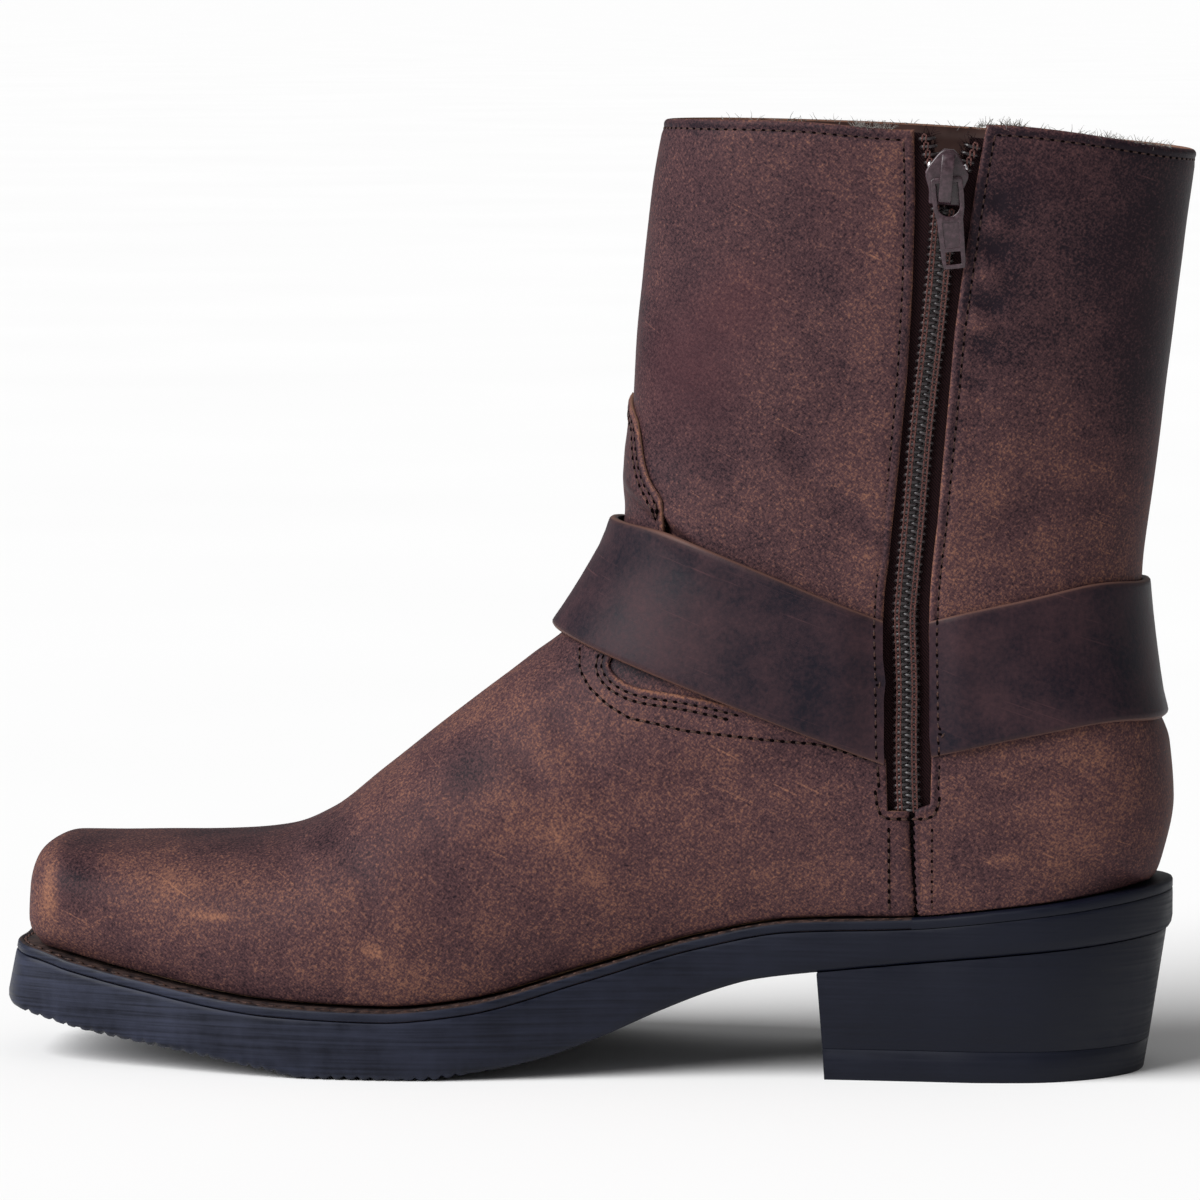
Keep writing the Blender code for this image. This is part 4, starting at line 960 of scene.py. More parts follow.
def patched(points):
    """Tone and redness of the leather at points of the upper, with painted shade and a painted highlight in
    some patches.
    """
    tone, red = np.zeros(len(points)), np.zeros(len(points))
    for side, x, z, wide, high, lighter, redder in PATCHES:
        shape = hill(points[:, 0], x, wide) * hill(points[:, 2], z, high)
        shape *= fade(points[:, 1] * side, -SIDES_BLEND, SIDES_BLEND)
        tone += lighter * shape
        red += redder * shape
    return tone, red


# oiled pull-up leather: cowhide buffed to a short nap and soaked in oil and wax, so it is matt and
# mottled in tan flecks, dark where it is oily and light where it has been stretched or rubbed
leather, tree, shader, coords = new_material("oiled_leather", specular_ior_level=0.08)
# the tone attribute holds painted shade and painted highlight as well: patches, the seam's groove and the
# relief
shade = node(tree, "Attribute", attribute_name="tone").outputs["Fac"]
red = node(tree, "Attribute", attribute_name="red").outputs["Fac"]
# clouds of oil 35 mm wide, blotches of 10 mm, nap 0.9 mm long that leans two ways, and hairline
# scratches
nap = [drawn_out(tree, coords, (0.3, way, 0.0), (0.0009, 0.0008, 0.0005)) for way in (-0.9, 0.7)]
for place, size, detail, rough, strength in (
        (coords, 0.035, 4.0, 0.6, 1.1), (coords, 0.010, 4.0, 0.66, 1.0),
        (nap[0], 1.0, 2.0, 0.7, 2.3), (nap[1], 1.0, 2.0, 0.7, 2.3)):
    fleck = clouds(tree, place, size, detail, rough)
    shade = worked_out(tree, "MULTIPLY_ADD", worked_out(tree, "SUBTRACT", fleck, 0.5), strength, shade)
streaks = drawn_out(tree, coords, (0.2, 0.4, 0.3), (0.022, 0.022, 0.0006))
scratch = node(tree, "TexNoise", {"Vector": streaks, "Scale": 1.0, "Detail": 1.0, "Distortion": 0.6})
shade = worked_out(tree, "ADD", shade, spread(tree, scratch.outputs[0], 0.70, 0.82, 0.0, 0.7))
tint = mixed(tree, spread(tree, shade, -0.9, 0.05), "#1c141b", "#4a3335")
tint = mixed(tree, spread(tree, shade, 0.05, 1.1), tint, "#865d4a")
tint = mixed(tree, spread(tree, red, 0.0, 1.0, 0.0, 0.55), tint, "#45252a")
pores = node(tree, "TexVoronoi", {"Vector": coords, "Scale": 1 / 0.0013}, feature="SMOOTH_F1")
dress(tree, shader, tint, spread(tree, shade, -0.8, 0.8, 0.50, 0.74),
      worked_out(tree, "MULTIPLY_ADD", pores.outputs[0], 0.35, fleck), 0.35, 0.0004)

# raw edge: the cut middle of the hide, tan and fibrous, a little dirty
raw_edge = grained("raw_edge_leather", 0.0012, "#3a2724", "#8a6654", 4.0, 0.7, roughness=0.85,
                   specular_ior_level=0.1)

# lining felt: grey needled fibre glued to the inside, matt with short loose hairs
felt = grained("lining_felt", 0.0012, "#3e3a38", "#8a857e", 5.0, 0.8, bump=(0.6, 0.0006), roughness=0.95,
               sheen_weight=0.3)


def cut_zip_corner(bm):
    """Cut the lower front corner of the zip's opening out of a panel."""
    (foot_x, foot_z), _, (top_x, top_z) = ZIP_FRONT[:3]
    side = Vector((top_z - foot_z, 0.0, foot_x - top_x)).normalized()
    corner = Vector((foot_x, 0.0, foot_z))
    for across in (side, Vector((0.0, 0.0, 1.0))):
        near = [f for f in bm.faces if (f.calc_center_median() - corner).length < CORNER_REACH
                and f.calc_center_median().y < 0]
        parts = near + list({e for f in near for e in f.edges}) + list({v for f in near for v in f.verts})
        bmesh.ops.bisect_plane(bm, geom=parts, plane_co=corner, plane_no=across)
    inside = []
    for face in bm.faces:
        from_corner = face.calc_center_median() - corner
        if from_corner.y < 0 and from_corner.z > 0 and from_corner.dot(side) > 0:
            inside.append(face)
    bmesh.ops.delete(bm, geom=inside, context="FACES")


def add_sheet(name, bm, verts, s, t, materials, thickness, **marks):
    """Add a piece made of a sheet that faces out of the boot and is thickened inwards."""
    bm.normal_update()
    outward = sample(NORMAL, s, t)
    kept = [i for i, v in enumerate(verts) if v.is_valid]
    if sum(verts[i].normal.dot(Vector(outward[i])) for i in kept[::50]) < 0:
        bmesh.ops.reverse_faces(bm, faces=bm.faces)
    piece = add_piece(name, bm, materials, closed=False, **marks)
    wall = piece.modifiers.new("thickness", "SOLIDIFY")
    wall.thickness = thickness * MM
    wall.offset = -1.0
    if len(materials) > 1:
        # the second material lines the sheet and the third is on its cut edge
        wall.material_offset = 1
        wall.material_offset_rim = 2


def sewn_panel(name, bm, verts, s, t, out, thickness, split=None, zip_corner=False, edge_wear_and_shade=0.0):
    """Finish a panel of the upper from its grid: relief, colour patches with painted shade and highlight,
    and its thickness inwards.
    """
    plain = skin(s, t)
    relief = creased(plain)
    lay(verts, skin(s, t, out + relief))
    tone, red = patched(plain)
    # tone from patches, edges and relief, with painted shade and painted highlight among them
    for layer, values in zip(LEATHER_LAYERS, (tone + edge_wear_and_shade + RELIEF_HIGHLIGHT_AND_SHADE * relief, red)):
        attribute = bm.verts.layers.float[layer]
        for vert, value in zip(verts, values.tolist()):
            vert[attribute] = value
    if split is not None:
        bmesh.ops.delete(bm, geom=[f for f in bm.faces if {split[v] for v in f.verts} == {0, 1}],
                         context="FACES_ONLY")
    bmesh.ops.remove_doubles(bm, verts=bm.verts, dist=1e-3)
    if zip_corner:
        cut_zip_corner(bm)
    add_sheet(name, bm, verts, s, t, [leather, felt, raw_edge], thickness, replaced=["upper"])


def moved(s, t, distance):
    """A line on the upper's surface, shifted sideways by a distance."""
    for _ in range(6):
        here = skin(s, t)
        along = unit(np.gradient(here, axis=0))
        aside = np.cross(sample(NORMAL, s, t), along) * distance / 6
        up, round_ = (skin(s + 0.02, t) - here) / 0.02, (skin(s, t + 0.002) - here) / 0.002
        a, b, c = (up * up).sum(1), (up * round_).sum(1), (round_ * round_).sum(1)
        u, v = (up * aside).sum(1), (round_ * aside).sum(1)
        s = s + (c * u - b * v) / (a * c - b * b)
        t = t + (a * v - b * u) / (a * c - b * b)
    return s, t


# vamp, raised on the shaft's front at its cut edge
VAMP_THICKNESS = 1.5
COLUMNS, ROWS = 150, 190
seam_s = locate(*SEAM[0], -1)[0]
bm, verts, column, row = grid(COLUMNS, ROWS, LEATHER_LAYERS)
up = np.minimum(row / (ROWS - len(CUT_ROWS) + 1), 1.0)
seat_s = np.linspace(0.0, seam_s - SEAM_FOOT_GAPS[0], 120)
edges = []
for side, seam in ((-1, SEAM + SEAM_ABOVE), (1, OUTER_SEAM)):
    below_vamp = np.column_stack(meet_rows(np.array(seam) + (SEAM_LAP, 0.0), side, VAMP_ROWS)[1])
    path = np.vstack((np.column_stack((seat_s, np.full_like(seat_s, side))), below_vamp))
    edges.append((along_edge(path[:, 0], path[:, 1], up), along_edge(path[:, 0], path[:, 1], np.ones(1))))
((left_s, left_t), (left_top_s, left_top_t)), ((right_s, right_t), (right_top_s, right_top_t)) = edges
inner, outer = girths((left_top_s + right_top_s) / 2)
across, _ = even_columns(np.arange(COLUMNS + 1), COLUMNS, -left_top_t * inner + right_top_t * outer)
edge_t = left_top_t + (right_top_t - left_top_t) * across
edge_s = vamp_top(edge_t)
cut_lines = np.array([moved(edge_s, edge_t, distance) for distance in CUT_ROWS])
top_s, top_t = cut_lines[-1][:, column]
inner, outer = girths((left_s + right_s) / 2)
across, edge = even_columns(column, COLUMNS, -left_t * inner + right_t * outer)
inside = fade(edge, 0.0, VAMP_SIDE)
side_s, side_top_s = np.where(across < 0.5, (left_s, left_top_s + 0 * up), (right_s, right_top_s + 0 * up))
side_t = left_t + (right_t - left_t) * across
side_top_t = left_top_t + (right_top_t - left_top_t) * across
free_s = VAMP_EVEN * up + (top_s - VAMP_EVEN) * up ** VAMP_CLIMB
late = (1 - inside) * up ** VAMP_SIDE_CLIMB
s = side_s + (free_s - side_s) * inside + (top_s - side_top_s) * late
t = side_t + (top_t - side_t) * inside + (top_t - side_top_t) * late
from_top = np.clip(ROWS - row, 0, len(CUT_ROWS) - 1)
s, t = np.where(from_top < len(CUT_ROWS) - 1, cut_lines[from_top, :, column].T, (s, t))
from_cut = CUT_ROWS[from_top]
rounded = CUT_DROP * (1 - fade(from_cut, 0.0, CUT_ROUND)) + SEWN_DEPTH * hill(from_cut, *CUT_SEWN)
sewn_panel("vamp_leather", bm, verts, s, t, vamp_lift(s, t) - rounded - turned_in(edge), VAMP_THICKNESS,
           zip_corner=True, edge_wear_and_shade=edge_tone(from_cut, CUT_TONE))

# shaft's front, from under the vamp, where it is pressed in, to the collar
PANEL_THICKNESS = 2.0
TUCK_DEPTH = 0.6
lapped_rows = lapped_under(VAMP_ROWS)
COLUMNS, ROWS = 130, 110
bm, verts, column, row = grid(COLUMNS, ROWS, LEATHER_LAYERS)
left, right = meet_rows(ZIP_FRONT, -1, lapped_rows)[0], meet_rows(OUTER_SEAM, 1, lapped_rows)[0]
inner, outer = girths(np.full(len(verts), (left[0][0] + right[0][0]) / 2))
across, edge = even_columns(column, COLUMNS, -left[1][0] * inner + right[1][0] * outer)
foot_t = left[1][0] + (right[1][0] - left[1][0]) * across
foot_s = np.interp(foot_t, T_STEPS, lapped_rows)
height = np.linalg.norm(skin(np.full(foot_s.shape, float(SECTIONS)), foot_t) - skin(foot_s, foot_t), axis=1)
up = row / (ROWS - TURNED) * (1 - ROLL[-1] / height)
up = np.where(row > ROWS - TURNED, 1 - ROLL[np.clip(ROWS - row, 0, TURNED)] / height, up)
(left_s, left_t), (right_s, right_t) = (along_edge(*line, up) for line in (left, right))
inner, outer = girths((left_s + right_s) / 2)
across, edge = even_columns(column, COLUMNS, -left_t * inner + right_t * outer)
t = left_t + (right_t - left_t) * across
low = left[0][0] + (right[0][0] - left[0][0]) * across
high = left[0][-1] + (right[0][-1] - left[0][-1]) * across
s = left_s + (right_s - left_s) * across + (1 - up) * (foot_s - low) + up * (SECTIONS - high)
edge = np.minimum(edge, (SECTIONS - s) * collar_climb(t))
tucked = TUCK_DEPTH * fade(vamp_top(t) - s, 0.0, 0.5)
sewn_panel("shaft_front_leather", bm, verts, s, t, -turned_in(edge) - sewn_in(edge) - tucked,
           PANEL_THICKNESS, edge_wear_and_shade=edge_tone(edge, TURNED_TONE))

# back panel, round the heel from the zip to the outer seam
COLUMNS, ROWS = 141, 150
bm, verts, column, row = grid(COLUMNS, ROWS, LEATHER_LAYERS)
first_s = seam_s + SEAM_FOOT_GAPS[1]
s = first_s + (SECTIONS - first_s) * row / ROWS
for _ in range(8):
    t, edge = back_columns(column, COLUMNS, s)
    climb = collar_climb(t)
    drop = ROLL[np.clip(ROWS - row, 0, TURNED)] / climb
    even = first_s + (SECTIONS - ROLL[-1] / climb - first_s) * row / (ROWS - TURNED)
    s = np.where(row > ROWS - TURNED, SECTIONS - drop, even)
edge = np.minimum(edge, (SECTIONS - s) * climb)
split = {v: int(c > COLUMNS // 2) for v, c in zip(verts, column)}
# above the seam the edge is rubbed lighter and darker up to its stitches; along the seam under the zip it
# gets painted shade in the groove
above_seam = fade(skin(s, t)[:, 2], *SEAM_TOP)
edge_wear_and_shade = edge_tone(edge, TURNED_TONE) * above_seam + edge_tone(edge, SEAM_PAINTED_SHADE) * (1 - above_seam)
sewn_panel("back_leather", bm, verts, s, t, -turned_in(edge) - sewn_in(edge), PANEL_THICKNESS, split,
           edge_wear_and_shade=edge_wear_and_shade)

# collar facing: a strip of smooth lining leather glued inside the collar, over the felt
FACING_DEPTH = (0.5, 29.0)
FACING_INSIDE = 2.05
FACING_THICKNESS = 0.9
FACING_ROWS = 8
# how far short of the zip's edges it ends, in shares round
FACING_SHORT = 0.006
facing = grained("facing_leather", 0.006, "#1f1413", "#402b26", 4.0, gloss=(0.3, 0.7, 0.38, 0.55),
                 specular_ior_level=0.15)
round_share = np.concatenate((np.linspace(FACING_SHORT - front_share(SECTIONS), 1.0, 130),
                              np.linspace(-1.0, -FACING_SHORT - rear_share(SECTIONS), 44)))
bm, verts, column, row = grid(len(round_share) - 1, FACING_ROWS)
t = round_share[column]
depth = FACING_DEPTH[0] + (FACING_DEPTH[1] - FACING_DEPTH[0]) * row / FACING_ROWS
s = SECTIONS - depth / collar_climb(t)
lay(verts, skin(s, t, np.full(t.shape, -FACING_INSIDE)))
add_sheet("collar_facing", bm, verts, s, t, [facing], FACING_THICKNESS, slot="leather")

# fluff: loose fibres of the lining that stand up behind the collar's edge, in tufts
FLUFF_TUFTS = (
    # side, from x to x along the collar, how many fibres
    (-1, 67.5, 77.5, 170), (-1, 99.0, 102.5, 50), (-1, 104.5, 111.0, 90), (-1, 124.0, 140.0, 70),
    (-1, 140.0, 149.0, 90), (1, 30.0, 140.0, 90), (-1, 30.0, 66.0, 16), (-1, 112.0, 124.0, 10),
)
# a height near the collar, how far inside and below its edge the fibres start, and how they rise
COLLAR_Z = 241.0
FLUFF_INSIDE = (-2.6, -0.9)
FLUFF_BELOW = (0.0, 0.0, 0.2)
FLUFF_RISE = (0.0, 0.0, 0.4)
FLUFF_LENGTH = (0.8, 2.1)
FLUFF_RADIUS = 0.12
# how far a fibre bends aside, in radii, and how much thinner its tip is
FIBRE_BEND = 12.0
FIBRE_TAPER = 0.6


def strand():
    """A thin bent fibre one unit long, which tapers to its tip."""
    sides, steps = 3, 4
    bm, verts, column, row = grid(sides, steps)
    at, angle = row / steps, column * math.tau / sides
    thick = 1.0 - FIBRE_TAPER * at
    lay(verts, np.column_stack((at, thick * np.cos(angle), thick * np.sin(angle) + FIBRE_BEND * at * at)))
    cap_ends(bm, verts, row)
    return bm


def fibre_place(point, way, length, radius, turn):
    """Where a fibre stands: its foot, its direction and the turn of its bend."""
    place = Vector(way).to_track_quat("X", "Z").to_matrix().to_4x4()
    place = place @ Matrix.Rotation(turn, 4, "X") @ Matrix.Diagonal((length, radius, radius, 1.0))
    place.translation = Vector(point)
    return place


draw = np.random.default_rng(11)
fibres = []
for side, start, end, count in FLUFF_TUFTS:
    for x in draw.uniform(start, end, count):
        t = locate(x, COLLAR_Z, side)[1]
        foot = skin(float(SECTIONS), t, draw.uniform(*FLUFF_INSIDE)) - np.array(FLUFF_BELOW)
        way = draw.normal(0.0, 1.0, 3) + np.array(FLUFF_RISE)
        length, turn = draw.uniform(*FLUFF_LENGTH), draw.uniform(0.0, math.tau)
        fibres.append(fibre_place(foot, way, length, FLUFF_RADIUS, turn))
# loose fibre: undyed grey wool and polyester, matt
fibre = grained("loose_fibre", 0.003, "#4d4a48", "#98938e", 2.0, roughness=0.95, specular_ior_level=0.1)
add_piece("collar_fluff", repeated(strand(), fibres), [fibre], slot="leather")

# Seams: lock stitches of waxed brown thread along the vamp's edge, the zip, the collar and the
# outer seam. The needle leaves a dark hole between two stitches.
STITCH = 2.7
STITCH_LENGTH = 1.9
STITCH_RADIUS = 0.32
STITCH_SUNK = 0.12
HOLE_LENGTH = 1.7
HOLE_RADIUS = 0.54
HOLE_SUNK = 0.6 * HOLE_RADIUS
# depth of a row that hardly pulls the leather in
SHALLOW = 0.05
# distance from the vamp's edge, first share round, depth in the leather
VAMP_STITCH_ROWS = ((2.0, 0.0, 0.12), (3.6, 0.0, SHALLOW), (8.6, 0.17, SHALLOW))
VAMP_SEWN_SHARE = 0.66
VAMP_THIRD_ROW = (
    (-2.8, 108.3), (-2.3, 103.4), (0.4, 99.4), (5.5, 95.4), (11.2, 92.4), (18.2, 91.3), (25.3, 89.8),
    (36.1, 88.9), (46.8, 87.9), (58.8, 87.0), (63.9, 85.7), (73.0, 83.0),
)
ZIP_FOOT_ROW = (
    (74.1, 74.6), (74.5, 71.4), (75.5, 68.7), (77.2, 68.0), (82.0, 67.9), (87.0, 68.1), (88.8, 68.8),
    (90.0, 71.2), (90.6, 74.2),
)
ZIP_FOOT_SIDES = (((77.5, 65.0), (77.5, 44.0)), ((88.5, 65.2), (88.4, 45.0)))
# heights between which the straps' ends cover the zip's rows
STRAP_ENDS = (82.0, 119.0)
# share round at which the vamp's edge goes under the strap
UNDER_STRAP = 0.5
# how far a row stops short of another, in millimetres, of the collar and of the welt, in sections,
# and the collar's row of the zip and of the outer seam, in shares round
ROW_MARGIN = 1.5
COLLAR_MARGIN = 0.12
WELT_MARGIN = 0.1
ZIP_MARGIN = 0.02
SEAM_MARGIN = 0.01
SEAM_STITCH = 2.3
SEAM_STITCH_TILT = 0.7
SEAM_STITCH_SUNK = 0.3


def sew(points, outward, first_hole=0.0):
    """Places of the stitches along a line and of the needle holes between them."""
    stitches = along_line(points, outward, STITCH, STITCH_LENGTH, STITCH_RADIUS, sunk=STITCH_SUNK)
    holes = along_line(points, outward, STITCH, HOLE_LENGTH, HOLE_RADIUS, sunk=HOLE_SUNK, first=first_hole)
    return stitches, holes


rows = []
t = np.linspace(-VAMP_SEWN_SHARE, VAMP_SEWN_SHARE, 400)
edge_s = vamp_top(t)
for distance, least, depth in VAMP_STITCH_ROWS:
    line_s, line_t = moved(edge_s, t, distance)
    outer = girths(line_s)[1]
    on_vamp = (line_t > -UNDER_STRAP) & (line_t < outer_share(line_s) - ROW_MARGIN / outer)
    half = on_vamp if least == 0 else on_vamp & (t >= least)
    rows.append((line_s[half], line_t[half], vamp_lift(line_s[half], line_t[half]) - depth))
s, t = through(VAMP_THIRD_ROW, -1, 60)
rows.append((s, t, vamp_lift(s, t) - SHALLOW))
for share, turn, foot in ((front_share, 1.0, ZIP_FOOT_ROW[0]), (rear_share, -1.0, ZIP_FOOT_ROW[-1])):
    s = np.linspace(locate(*foot, -1)[0], SECTIONS - COLLAR_MARGIN, 240)
    t = -share(s) + turn * EDGE_ROW / girths(s)[0]
    z = skin(s, t)[:, 2]
    below, above = (z > foot[1] + ROW_MARGIN) & (z < STRAP_ENDS[0]), z > STRAP_ENDS[1]
    depth = SEWN_DEPTH if turn < 0 else SHALLOW
    rows.append((s[below], t[below], vamp_lift(s, t)[below] * (turn > 0) - depth))
    rows.append((s[above], t[above], np.full(above.sum(), -SEWN_DEPTH)))
for points, count in ((ZIP_FOOT_ROW, 40), (ZIP_FOOT_SIDES[0], 24), (ZIP_FOOT_SIDES[1], 24)):
    s, t = through(points, -1, count)
    rows.append((s, t, vamp_lift(s, t) * (t > -front_share(s)) - SHALLOW))
for start, end in ((-front_share(SECTIONS) + ZIP_MARGIN, outer_share(SECTIONS) - SEAM_MARGIN),
                   (-rear_share(SECTIONS) - ZIP_MARGIN, -1.0), (1.0, outer_share(SECTIONS) + SEAM_MARGIN)):
    t = np.linspace(start, end, 200)
    s = SECTIONS - EDGE_ROW / collar_climb(t)
    rows.append((s, t, np.full(t.shape, -SEWN_DEPTH)))
for turn in (-1.0, 1.0):
    s = np.linspace(locate(*OUTER_SEAM[0], 1)[0] + WELT_MARGIN, SECTIONS - COLLAR_MARGIN, 260)
    t = outer_share(s) + turn * EDGE_ROW / girths(s)[1]
    over_vamp = (t < outer_share(s)) * (s < vamp_top(t))
    rows.append((s, t, vamp_lift(s, t) * over_vamp - SEWN_DEPTH))

stitches, holes = [], []
for s, t, lift in rows:
    plain, outward = skin(s, t), sample(NORMAL, s, t)
    sewn, pricked = sew(plain + outward * (lift + creased(plain))[:, None], outward)
    stitches += sewn
    holes += pricked
s, t = through(SEAM, -1, 40)
holes += along_line(skin(s, t), sample(NORMAL, s, t), SEAM_STITCH, HOLE_LENGTH, HOLE_RADIUS,
                    SEAM_STITCH_TILT, SEAM_STITCH_SUNK)
upper_thread = sewing_thread("upper_thread", "#1f1312", "#4e3026")
# needle holes: near-black beads that stand for the painted shade inside the pricked holes, so they show as
# dots between the stitches
hole_shade = grained("painted_hole_shade", 0.002, "#050304", "#0d090a", 2.0, roughness=1.0, specular_ior_level=0.0)
add_piece("upper_stitches", repeated(bead(6, 5), stitches), [upper_thread], slot="leather")
add_piece("needle_holes", repeated(bead(6, 4), holes), [hole_shade], slot="leather")

# Zip: two woven tapes sewn behind the opening, each with a coil of nylon wire held by a chain
# stitch. The coils are closed up to the slider near the collar.
ZIP_MIDDLE = (
    # z, x of the zip's middle line
    (62.0, 82.6), (70.8, 82.3), (76.0, 82.1), (90.0, 81.9), (99.0, 82.0), (110.0, 81.7), (119.0, 81.4),
    (127.6, 82.0), (145.3, 83.6), (162.8, 85.0), (175.3, 86.3), (193.8, 88.4), (212.8, 90.2), (234.0, 91.9),
    (243.0, 92.7),
)
# length of the tapes below the end of the zip's opening
ZIP_START = 8.8
# half the length over which the zip's direction is taken
ZIP_REACH = 4.0
TAPE_LENGTH = (-7.0, 171.0)
TAPE_WIDTH = 13.5
TAPE_SECTION = (
    # across, out: the face from the middle to the tape's outer edge, and its back
    (0.15, 0.0), (3.0, 0.0), (6.0, 0.0), (9.5, -0.1), (TAPE_WIDTH, -0.25), (TAPE_WIDTH, -0.9),
    (6.0, -0.8), (0.15, -0.8),
)
# half the gap between the tapes, along the zip
TAPE_PARTING = ((150.0, 0.15), (158.0, 0.15), (163.0, 2.8), (171.0, 5.4))
TAPE_FACE = -2.5
COIL_LENGTH = (-0.9, 152.5)
# above the slider each tape carries its own coil up to the collar
OPEN_COIL_LENGTH = (163.0, 170.5)
COIL_PITCH = 1.93
COIL_WIRE = 0.41
COIL_PATH = (
    # across, along, out: one turn of the wire from under the tape's edge over the top to its head
    (2.3, -0.75, 0.3), (2.95, -0.6, 0.45), (3.22, -0.35, 0.95), (2.95, -0.1, 1.45), (2.2, 0.0, 1.62),
    (1.0, 0.1, 1.66), (0.1, 0.2, 1.6), (-0.45, 0.3, 1.3), (-0.55, 0.35, 0.8),
)
# chain stitch over the coil: two rows across, their place along and out, half a stitch's length in
# pitches, and the thread's radius, then place across and out and half the length of the rungs
CHAIN_ACROSS = (1.45, 2.45)
CHAIN_ALONG = 0.1
CHAIN_OUT = 1.86
CHAIN_LENGTH = 0.54
CHAIN_RADIUS = 0.29
RUNG_ACROSS = 1.95
RUNG_OUT = 1.7
RUNG_LENGTH = 0.55
CORE = ((-2.9, 0.1), (-2.7, 0.7), (-1.2, 0.9), (1.2, 0.9), (2.7, 0.7), (2.9, 0.1))

zip_z = np.linspace(ZIP_MIDDLE[0][0], ZIP_MIDDLE[-1][0], 363)
zip_x = curve(ZIP_MIDDLE)(zip_z)
zip_run = run_length(np.column_stack((zip_x, zip_z))) - ZIP_START


def zip_place(along):
    """Section and share of a point of the zip's middle line, in millimetres up from its end."""
    return locate(np.interp(along, zip_run, zip_x), np.interp(along, zip_run, zip_z), -1)


def zip_frame(along, out):
    """Place on the zip's middle line: X across the zip, Y up along it, Z out of the boot."""
    s, t = zip_place(along)
    upward = Vector(skin(*zip_place(along + ZIP_REACH)) - skin(*zip_place(along - ZIP_REACH))).normalized()
    normal = Vector(sample(NORMAL, s, t))
    normal = (normal - upward * normal.dot(upward)).normalized()
    place = Matrix((upward.cross(normal), upward, normal)).transposed().to_4x4()
    place.translation = Vector(skin(s, t, out))
    return place


def parted(along):
    """How far the tapes' inner edges are from the zip's middle, wider above the slider."""
    return np.interp(along, *np.array(TAPE_PARTING).T)


def zip_strip(profile, ends, rows):
    """A closed strip along the zip with a profile of across and out points."""
    profile = np.array(profile)
    bm, verts, column, row = grid(len(profile), rows)
    run = np.linspace(*ends, rows + 1)
    places = [zip_frame(along, TAPE_FACE) for along in run]
    for vert, c, r in zip(verts, column, row):
        across, out = profile[c % len(profile)]
        vert.co = places[r] @ Vector((math.copysign(max(abs(across), parted(run[r])), across), 0.0, out))
    cap_ends(bm, verts, row)
    return bm


# zip tape: polyester herringbone, dyed red-brown, matt with a fine twill of 0.6 mm
tape, tree, shader, coords = new_material("woven_tape", roughness=0.9, specular_ior_level=0.1)
turned = node(tree, "Mapping", {"Vector": coords, "Rotation": (0.0, 0.7, 0.0)})
twill = node(tree, "TexWave", {"Vector": turned.outputs[0], "Scale": 1 / 0.0006 / 6.28 * 2,
                               "Distortion": 1.5, "Detail": 2.0, "Detail Scale": 2.0}, bands_direction="X")
dress(tree, shader, mixed(tree, twill.outputs[1], "#11090c", "#2c191b"), None, twill.outputs[1], 0.5, 0.0002)
for name, node_name, side in (("tape_front", "zip_tape_front", -1.0), ("tape_rear", "zip_tape_rear", 1.0)):
    profile = [(side * across, out) for across, out in TAPE_SECTION]
    add_piece(name, zip_strip(profile, TAPE_LENGTH, 60), [tape], replaced=[node_name])

# frayed ends of the tapes, along their cut tops and their parted edges above the slider
FRAY_ALONG = (162.5, 171.0)
FRAY_COUNT = 70
FRAY_ACROSS = 1.2
FRAY_OUT = (-0.4, 0.3)
FRAY_WAY = (-0.45, -0.25, 0.7)
FRAY_SPREAD = 0.45
FRAY_LENGTH = (1.0, 3.4)
FRAY_RADIUS = 0.13
fibres = []
for side in (-1.0, 1.0):
    for along in draw.uniform(*FRAY_ALONG, FRAY_COUNT):
        across = parted(along) + max(0.0, draw.normal(0.0, FRAY_ACROSS))
        foot = zip_frame(along, TAPE_FACE) @ Vector((side * across, 0.0, draw.uniform(*FRAY_OUT)))
        way = draw.normal(0.0, FRAY_SPREAD, 3) + np.array((FRAY_WAY[0] * side, *FRAY_WAY[1:]))
        length, turn = draw.uniform(*FRAY_LENGTH), draw.uniform(0.0, math.tau)
        fibres.append(fibre_place(foot, way, length, FRAY_RADIUS, turn))
add_piece("tape_fray", repeated(strand(), fibres), [tape], slot="tape")

# coil: extruded nylon wire, dyed near black, smooth with a sharp small highlight on each turn
nylon = grained("nylon_wire", 0.003, "#110d0e", "#332a2c", 3.0, gloss=(0.3, 0.7, 0.25, 0.42),
                specular_ior_level=0.5)


def coil_turn():
    """One turn of the wire as a closed six-sided tube."""
    path = np.array(COIL_PATH)
    along = unit(np.gradient(path, axis=0))
    beside = unit(np.cross(along, (0.0, 1.0, 0.0)))
    other = np.cross(along, beside)
    bm, verts, column, row = grid(6, len(path) - 1)
    angle = (column * math.pi / 3)[:, None]
    lay(verts, path[row] + COIL_WIRE * (beside[row] * np.cos(angle) + other[row] * np.sin(angle)))
    cap_ends(bm, verts, row)
    return bm


